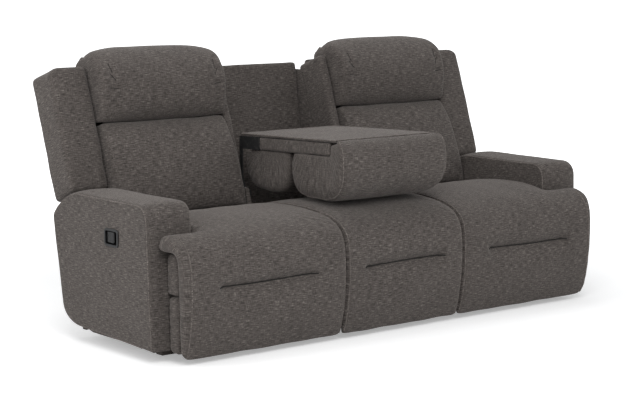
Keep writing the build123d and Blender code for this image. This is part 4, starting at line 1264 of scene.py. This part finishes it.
# release handles
gripLook = {"half": (0.0042, 0.021, 0.0225), "edge": 0.0040, "ridges": 5, "ridge": 0.0007, "bow": 0.0022}
for side, sign in sofaSides.items():
    lowest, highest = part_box(side + "_handle_lever")
    # a moulded finger grip: a bowed paddle with upright ridges
    grip = latticeSkin(side + "HandleGrip", gripLook["half"], 0.0022, lambda x, s, t: (x, s, t))
    co = pointsOf(grip)
    lattice = latticeOf(grip)
    rounded = np.array([roundedBox(p, gripLook["half"], gripLook["edge"]) for p in lattice])
    across = rounded[:, 1] / gripLook["half"][1]
    ridges = gripLook["ridge"] * np.cos(across * math.pi * gripLook["ridges"])
    ridges = ridges * (lattice[:, 0] > 0.003) * (np.abs(rounded[:, 1]) < 0.017)
    bow = -gripLook["bow"] * across**2
    placeX = highest.x - 0.0052 if sign > 0 else -(abs(lowest.x) - 0.0052)
    co = np.stack([
        placeX + sign * (rounded[:, 0] + ridges + bow * 0.6),
        (lowest.y + highest.y) / 2 - 0.001 + rounded[:, 1] * (highest.y - lowest.y - 0.003) / 0.042,
        (lowest.z + highest.z) / 2 + rounded[:, 2] * (highest.z - lowest.z - 0.001) / 0.045,
    ], axis=1)
    setPoints(grip, co)
    faceOutward(grip.data)
    finishSkin(grip, 1)
    dress(grip, blackPlastic)
    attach(grip, side + "_lever")
    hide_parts(side + "_handle_lever")
print("handles ready")

# footrest blocks behind the pads
blockLook = {
    "flap": {"x": (0.2980, 0.9955), "z": (0.2392, 0.3868), "y": (-0.4308, -0.3590)},
    "box": {"x": (0.2980, 0.9955), "z": (0.0356, 0.2378), "y": (-0.4308, -0.3690)},
}
for kind, look in blockLook.items():
    centre = [(look[axis][0] + look[axis][1]) / 2 for axis in "xzy"]
    half = [(look[axis][1] - look[axis][0]) / 2 for axis in "xzy"]
    block = slab(
        "right" + kind.capitalize() + "Skin", centre, half, 0.012, 0.017,
        lambda x, s, t: (x, t, s), 0.0, 51, clothShift=(1.1, 0.6))
    co = pointsOf(block)
    # gathered cover over the last 30 mm at both ends
    endwise = np.clip((np.abs(co[:, 0] - centre[0]) - half[0] + 0.03) / 0.03, 0, 1)
    fromMiddle = co[:, 2] - centre[1]
    gathers = 0.0016 * endwise * np.sin(co[:, 1] * 300)
    co[:, 2] += gathers * np.sign(fromMiddle) * (np.abs(fromMiddle) > half[1] - 0.02)
    co[:, 0] += 0.0015 * endwise * np.sin(co[:, 2] * 230) * np.sign(co[:, 0] - centre[0])
    co[:, 2] = np.clip(co[:, 2], look["z"][0], look["z"][1])
    setPoints(block, co)
    twin = mirrored(block, "left" + kind.capitalize() + "Skin")
    for side, piece in (("right", block), ("left", twin)):
        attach(piece, side + "_footrest")
        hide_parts(f"{side}_footrest_{kind}")
print("footrest blocks ready")

# fixed panel behind the console
panelLean = math.radians(7.6)
panelFoot = (0.4064, 0.350)  # y and z of its lower edge


def upThePanel(x, along, forward):
    y = panelFoot[0] + along * math.sin(panelLean) + forward * math.cos(panelLean)
    return (x, y, panelFoot[1] + along * math.cos(panelLean) - forward * math.sin(panelLean))


panelLook = {"centre": (0, 0.3072, 0.0120), "half": (0.2455, 0.3060, 0.0115), "edge": 0.008}
panelSkin = slab(
    "rearPanelSkin", panelLook["centre"], panelLook["half"], 0.014, panelLook["edge"],
    upThePanel, 0.0012, 61, clothShift=(0.1, 2.7))
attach(panelSkin, "base")
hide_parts("rear_panel")
rim = archPath(0.2395, 0.01, 0.607, 0.6085, 0.237, (40, 40))
panelWelt = welt("rearPanelWelt", [[upThePanel(x, a, 0.0232) for x, a in rim]], 0.0022)
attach(panelWelt, "base")


def gussetPlace(x, s, t):
    # cloth that closes the gap between the panel's side and the wing beside it
    z = 0.524 + s
    front = backFoot[0] + (z - backFoot[1]) * math.tan(backLean) - 0.032
    rear = panelFoot[0] + (z - panelFoot[1]) * math.tan(panelLean) + 0.030
    share = (t / 0.05 + 1) / 2
    return (0.2474 + x, front * (1 - share) + rear * share, z)


rightGusset = latticeSkin("rightPanelGusset", (0.0005, 0.404, 0.05), 0.014, gussetPlace, (0.7, 3.1))
finishSkin(rightGusset, 1)
dress(rightGusset, tweed)
for piece in (rightGusset, mirrored(rightGusset, "leftPanelGusset")):
    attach(piece, "base")


def middleGapShadePlace(x, s, t):
    # a near-black sheet of painted shade between the struts, from the fixed panel down to the rear skirt
    return (x, 0.396 + 0.004 * math.sin(x * 30) * (0.110 - s) / 0.22 + t, 0.240 + s)


middleGapShade = latticeSkin("middleGapShade", (0.221, 0.110, 0.0006), 0.016, middleGapShadePlace)
finishSkin(middleGapShade, 1)
dress(middleGapShade, gapShadeCloth)
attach(middleGapShade, "base")

# console
consoleLook = {
    "slope": 0.03, "rearTop": 0.715, "rear": 0.226, "crown": 0.0115,
    "top": {"centre": (0, -0.074, -0.01065), "half": (0.2452, 0.2990, 0.0050), "edge": 0.0045},
    "board": {"centre": (0, -0.1000, -0.0412), "half": (0.2440, 0.2335, 0.0252), "edge": 0.005},
    "lumbar": {"half": 0.2365, "thick": 0.045, "edge": 0.026},
    "head": {"half": 0.25, "thick": 0.05, "edge": 0.034},
    "lumbarOuter": [
        (0.170, 0.647), (0.197, 0.622), (0.2055, 0.585), (0.198, 0.545), (0.176, 0.513), (0.138, 0.497),
        (0.090, 0.4925), (0.040, 0.492), (-0.008, 0.497), (-0.044, 0.512), (-0.067, 0.540), (-0.078, 0.578),
        (-0.0805, 0.616), (-0.078, 0.650),
    ],
    "lumbarInner": [
        (0.132, 0.6505), (0.128, 0.6507), (0.121, 0.6509), (0.108, 0.6513), (0.090, 0.6518), (0.070, 0.6524),
        (0.050, 0.6530), (0.030, 0.6536), (0.012, 0.6542), (-0.004, 0.6547), (-0.018, 0.6551),
        (-0.030, 0.6554), (-0.044, 0.6558), (-0.060, 0.6562),
    ],
    "headOuter": [
        (-0.3765, 0.7262), (-0.395, 0.7225), (-0.413, 0.711), (-0.427, 0.688), (-0.4345, 0.654),
        (-0.4355, 0.614), (-0.4285, 0.573), (-0.407, 0.536), (-0.370, 0.509), (-0.320, 0.4965),
        (-0.265, 0.493), (-0.205, 0.493),
        (-0.155, 0.498), (-0.117, 0.514), (-0.095, 0.547), (-0.0875, 0.590), (-0.089, 0.630),
    ],
    "headInner": [
        (-0.3757, 0.7245), (-0.3757, 0.721), (-0.3755, 0.7165), (-0.362, 0.7125), (-0.343, 0.707),
        (-0.3385, 0.696), (-0.3375, 0.681), (-0.336, 0.670), (-0.327, 0.6638), (-0.305, 0.6638),
        (-0.280, 0.6630), (-0.250, 0.6622),
        (-0.215, 0.6612), (-0.180, 0.6601), (-0.150, 0.6592), (-0.127, 0.6585), (-0.110, 0.6580),
    ],
    "headHalf": [0.250, 0.262, 0.269, 0.271, 0.267, 0.257, 0.249, 0.245, 0.240, 0.226],
}


def consoleLevel(y, depth):
    # the height of a place so far under the console's sloping top
    return consoleLook["rearTop"] + (consoleLook["rear"] - y) * consoleLook["slope"] - depth


def consolePlace(x, s, t):
    return (x, s, consoleLevel(s, -t))


def consoleTopPlace(x, s, t):
    # thin at its edges, softly crowned over its width and length
    crown = consoleLook["crown"] * (1 - (x / 0.246) ** 2) * (1 - ((s + 0.074) / 0.30) ** 2)
    return (x, s, consoleLevel(s, -t) + crown * (t + 0.0160) / 0.0105)


look = consoleLook["top"]
topSkin = slab(
    "consoleTopSkin", look["centre"], look["half"], 0.011, look["edge"],
    consoleTopPlace, 0.0008, 71, clothShift=(2.2, 0.4))
look = consoleLook["board"]
boardSkin = slab(
    "consoleBoardSkin", look["centre"], look["half"], 0.011, look["edge"],
    consolePlace, 0.0004, 72, clothShift=(2.6, 1.4))
look = consoleLook["lumbar"]
consoleLumbar = cushionBetween(
    "consoleLumbarSkin", look["half"], consoleLook["lumbarOuter"], consoleLook["lumbarInner"],
    0.011, look["edge"], 0.0, lambda x, s, share: x, look["thick"],
    clothShift=(3.1, 0.2), sole=look["edge"])


def consoleHeadShape(x, s, share):
    # widest at its front, narrower where it turns under the board
    wide = catmull(consoleLook["headHalf"], (s + 1) / 2)
    return x / consoleLook["head"]["half"] * (wide * share + 0.2435 * (1 - share))


look = consoleLook["head"]
consoleHead = cushionBetween(
    "consoleHeadSkin", look["half"], consoleLook["headOuter"], consoleLook["headInner"],
    0.010, look["edge"], 0.0, consoleHeadShape, look["thick"],
    clothShift=(3.9, 0.9), sole=look["edge"])
for piece, part, fullness, seed in ((consoleLumbar, "lumbar", 0.008, 81), (consoleHead, "head", 0.011, 82)):
    thick, halfWide = consoleLook[part]["thick"], consoleLook[part]["half"]
    held, raw = backHeld(piece, halfWide, thick, 0.93)
    co = pointsOf(piece)
    nor = normalsOf(piece)
    # gathers radiate over both ends where the cover is drawn in
    endwise = np.clip((np.abs(raw[:, 0]) / halfWide - 0.80) / 0.2, 0, 1)
    wave = np.cos(raw[:, 1] * 2 * math.pi / 0.027 + 1.3 * np.sin(raw[:, 1] * 31 + seed))
    gathers = 0.0026 * endwise**1.5 * wave * (raw[:, 2] > -thick * 0.5)
    co += nor * (gathers + 0.0012 * ripple(co, 0.13, seed))[:, None]
    setPoints(piece, co)
    swell(piece, held, fullness)
    finishSkin(piece, 1)
    dress(piece, tweed)
for piece, node, slotName in (
    (topSkin, "console_top", "covered_board"), (boardSkin, "console_board", "board"),
    (consoleLumbar, "console_lumbar_pillow", "tweed"), (consoleHead, "console_head_pillow", "tweed"),
):
    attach(piece, "console")
    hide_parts(node)
topRim = archPath(0.2445, -0.366, 0.218, 0.2245, 0.238, (60, 50))
frontRim = [(x, -0.3728) for x in np.linspace(-0.2440, 0.2440, 60)]
consoleWelt = welt("consoleTopWelt", [
    smoothPath([(x, y, consoleLevel(y, 0.0068)) for x, y in topRim], 4),
    [(x, y, consoleLevel(y, 0.0052)) for x, y in frontRim],
], 0.0021)
headSurface = surfaceOf(consoleHead)
headEdges = []
for sign in (-1, 1):
    points = []
    for at in np.linspace(0.03, 0.97, 80):
        yz = catmull(consoleLook["headOuter"], at)
        wide = catmull(consoleLook["headHalf"], at)
        points.append((sign * (wide - 0.010), yz[0], yz[1]))
    headEdges.append(smoothPath(laidOn(headSurface, points, 0.0005), 3))
headWelt = welt("consoleHeadWelt", headEdges, 0.0020)
for piece in (consoleWelt, headWelt):
    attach(piece, "console")
print("console ready")

# carried-over frame and mechanism pieces
nodeFinish = {
    "black_plastic": blackPlastic, "glide": glideBlack, "spring_steel": springSteel,
    "steel": blackEnamel, "board": sawnBoard, "covered_board": tweedOnBoard, "tweed": tweedOnBoard,
}
coveredBoards = (
    "centre_divider", "arm_frame", "middle_seat_frame", "back_frame", "panel_struts", "rear_skirt",
)
# the base rails take the near-black board, painted shade under the pads
paintedShadeBoards = ("base_front_rail", "base_rear_rail")
slotOfNode = {entry["node"]: entry["material_slot"] for entry in frame["record"]["subparts"]}
for name, node in frame["nodes"].items():
    finish = nodeFinish[slotOfNode[name]]
    if any(part in name for part in coveredBoards):
        finish = tweedOnBoard
    if any(part in name for part in paintedShadeBoards):
        finish = paintedShadeBoard
    node.data.materials.clear()
    node.data.materials.append(finish)
print("frame nodes finished")

# bolts on the mechanism
boltTree, nodes, links, enter, leave = newTree(
    "boltHeads",
    [
        ("Radius", "NodeSocketFloat", 0.006), ("Height", "NodeSocketFloat", 0.004),
        ("Turn", "NodeSocketVector", (0, math.pi / 2, 0)), ("Material", "NodeSocketMaterial", None),
    ],
)
hexHead = addNode(nodes, "GeometryNodeMeshCylinder", {"Vertices": 6})
washer = addNode(nodes, "GeometryNodeMeshCylinder", {"Vertices": 20})
washerWide = addNode(nodes, "ShaderNodeMath", {1: 1.45}, operation="MULTIPLY")
washerThin = addNode(nodes, "ShaderNodeMath", {1: 0.4}, operation="MULTIPLY")
bothShapes = nodes.new("GeometryNodeJoinGeometry")
spread = nodes.new("GeometryNodeInstanceOnPoints")
solid = nodes.new("GeometryNodeRealizeInstances")
paint = nodes.new("GeometryNodeSetMaterial")
links.new(enter.outputs["Radius"], hexHead.inputs["Radius"])
links.new(enter.outputs["Height"], hexHead.inputs["Depth"])
links.new(enter.outputs["Radius"], washerWide.inputs[0])
links.new(enter.outputs["Height"], washerThin.inputs[0])
links.new(washerWide.outputs[0], washer.inputs["Radius"])
links.new(washerThin.outputs[0], washer.inputs["Depth"])
links.new(hexHead.outputs["Mesh"], bothShapes.inputs["Geometry"])
links.new(washer.outputs["Mesh"], bothShapes.inputs["Geometry"])
links.new(enter.outputs["Geometry"], spread.inputs["Points"])
links.new(bothShapes.outputs[0], spread.inputs["Instance"])
links.new(enter.outputs["Turn"], spread.inputs["Rotation"])
links.new(spread.outputs[0], solid.inputs["Geometry"])
links.new(solid.outputs[0], paint.inputs["Geometry"])
links.new(enter.outputs["Material"], paint.inputs["Material"])
links.new(paint.outputs[0], leave.inputs["Geometry"])


def bolts(name, spots, body, radius=0.006, height=0.003):
    mesh = bpy.data.meshes.new(name + "Spots")
    mesh.from_pydata(spots, [], [])
    base = bpy.data.objects.new(name + "Spots", mesh)
    scene.collection.objects.link(base)
    obj = growOn(name, base, boltTree, {"Radius": radius, "Height": height, "Material": blackEnamel})
    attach(obj, body)


for side, sign in sofaSides.items():
    plates = [(sign * x, y, 0.300) for x in (0.8635, 0.2935) for y in (-0.16, 0.0)]
    knees = [(sign * x, -0.096, 0.1271) for x in (0.8640, 0.2930)]
    guides = [(sign * x, y, 0.253) for x in (0.8682, 0.2888) for y in (-0.23, 0.13)]
    bolts(side + "PlateBolts", plates, side + "_seat")
    bolts(side + "KneeBolts", knees, side + "_crank", 0.0065)
    bolts(side + "GuideBolts", guides, "base", 0.0045, 0.0006)
print("bolts ready")
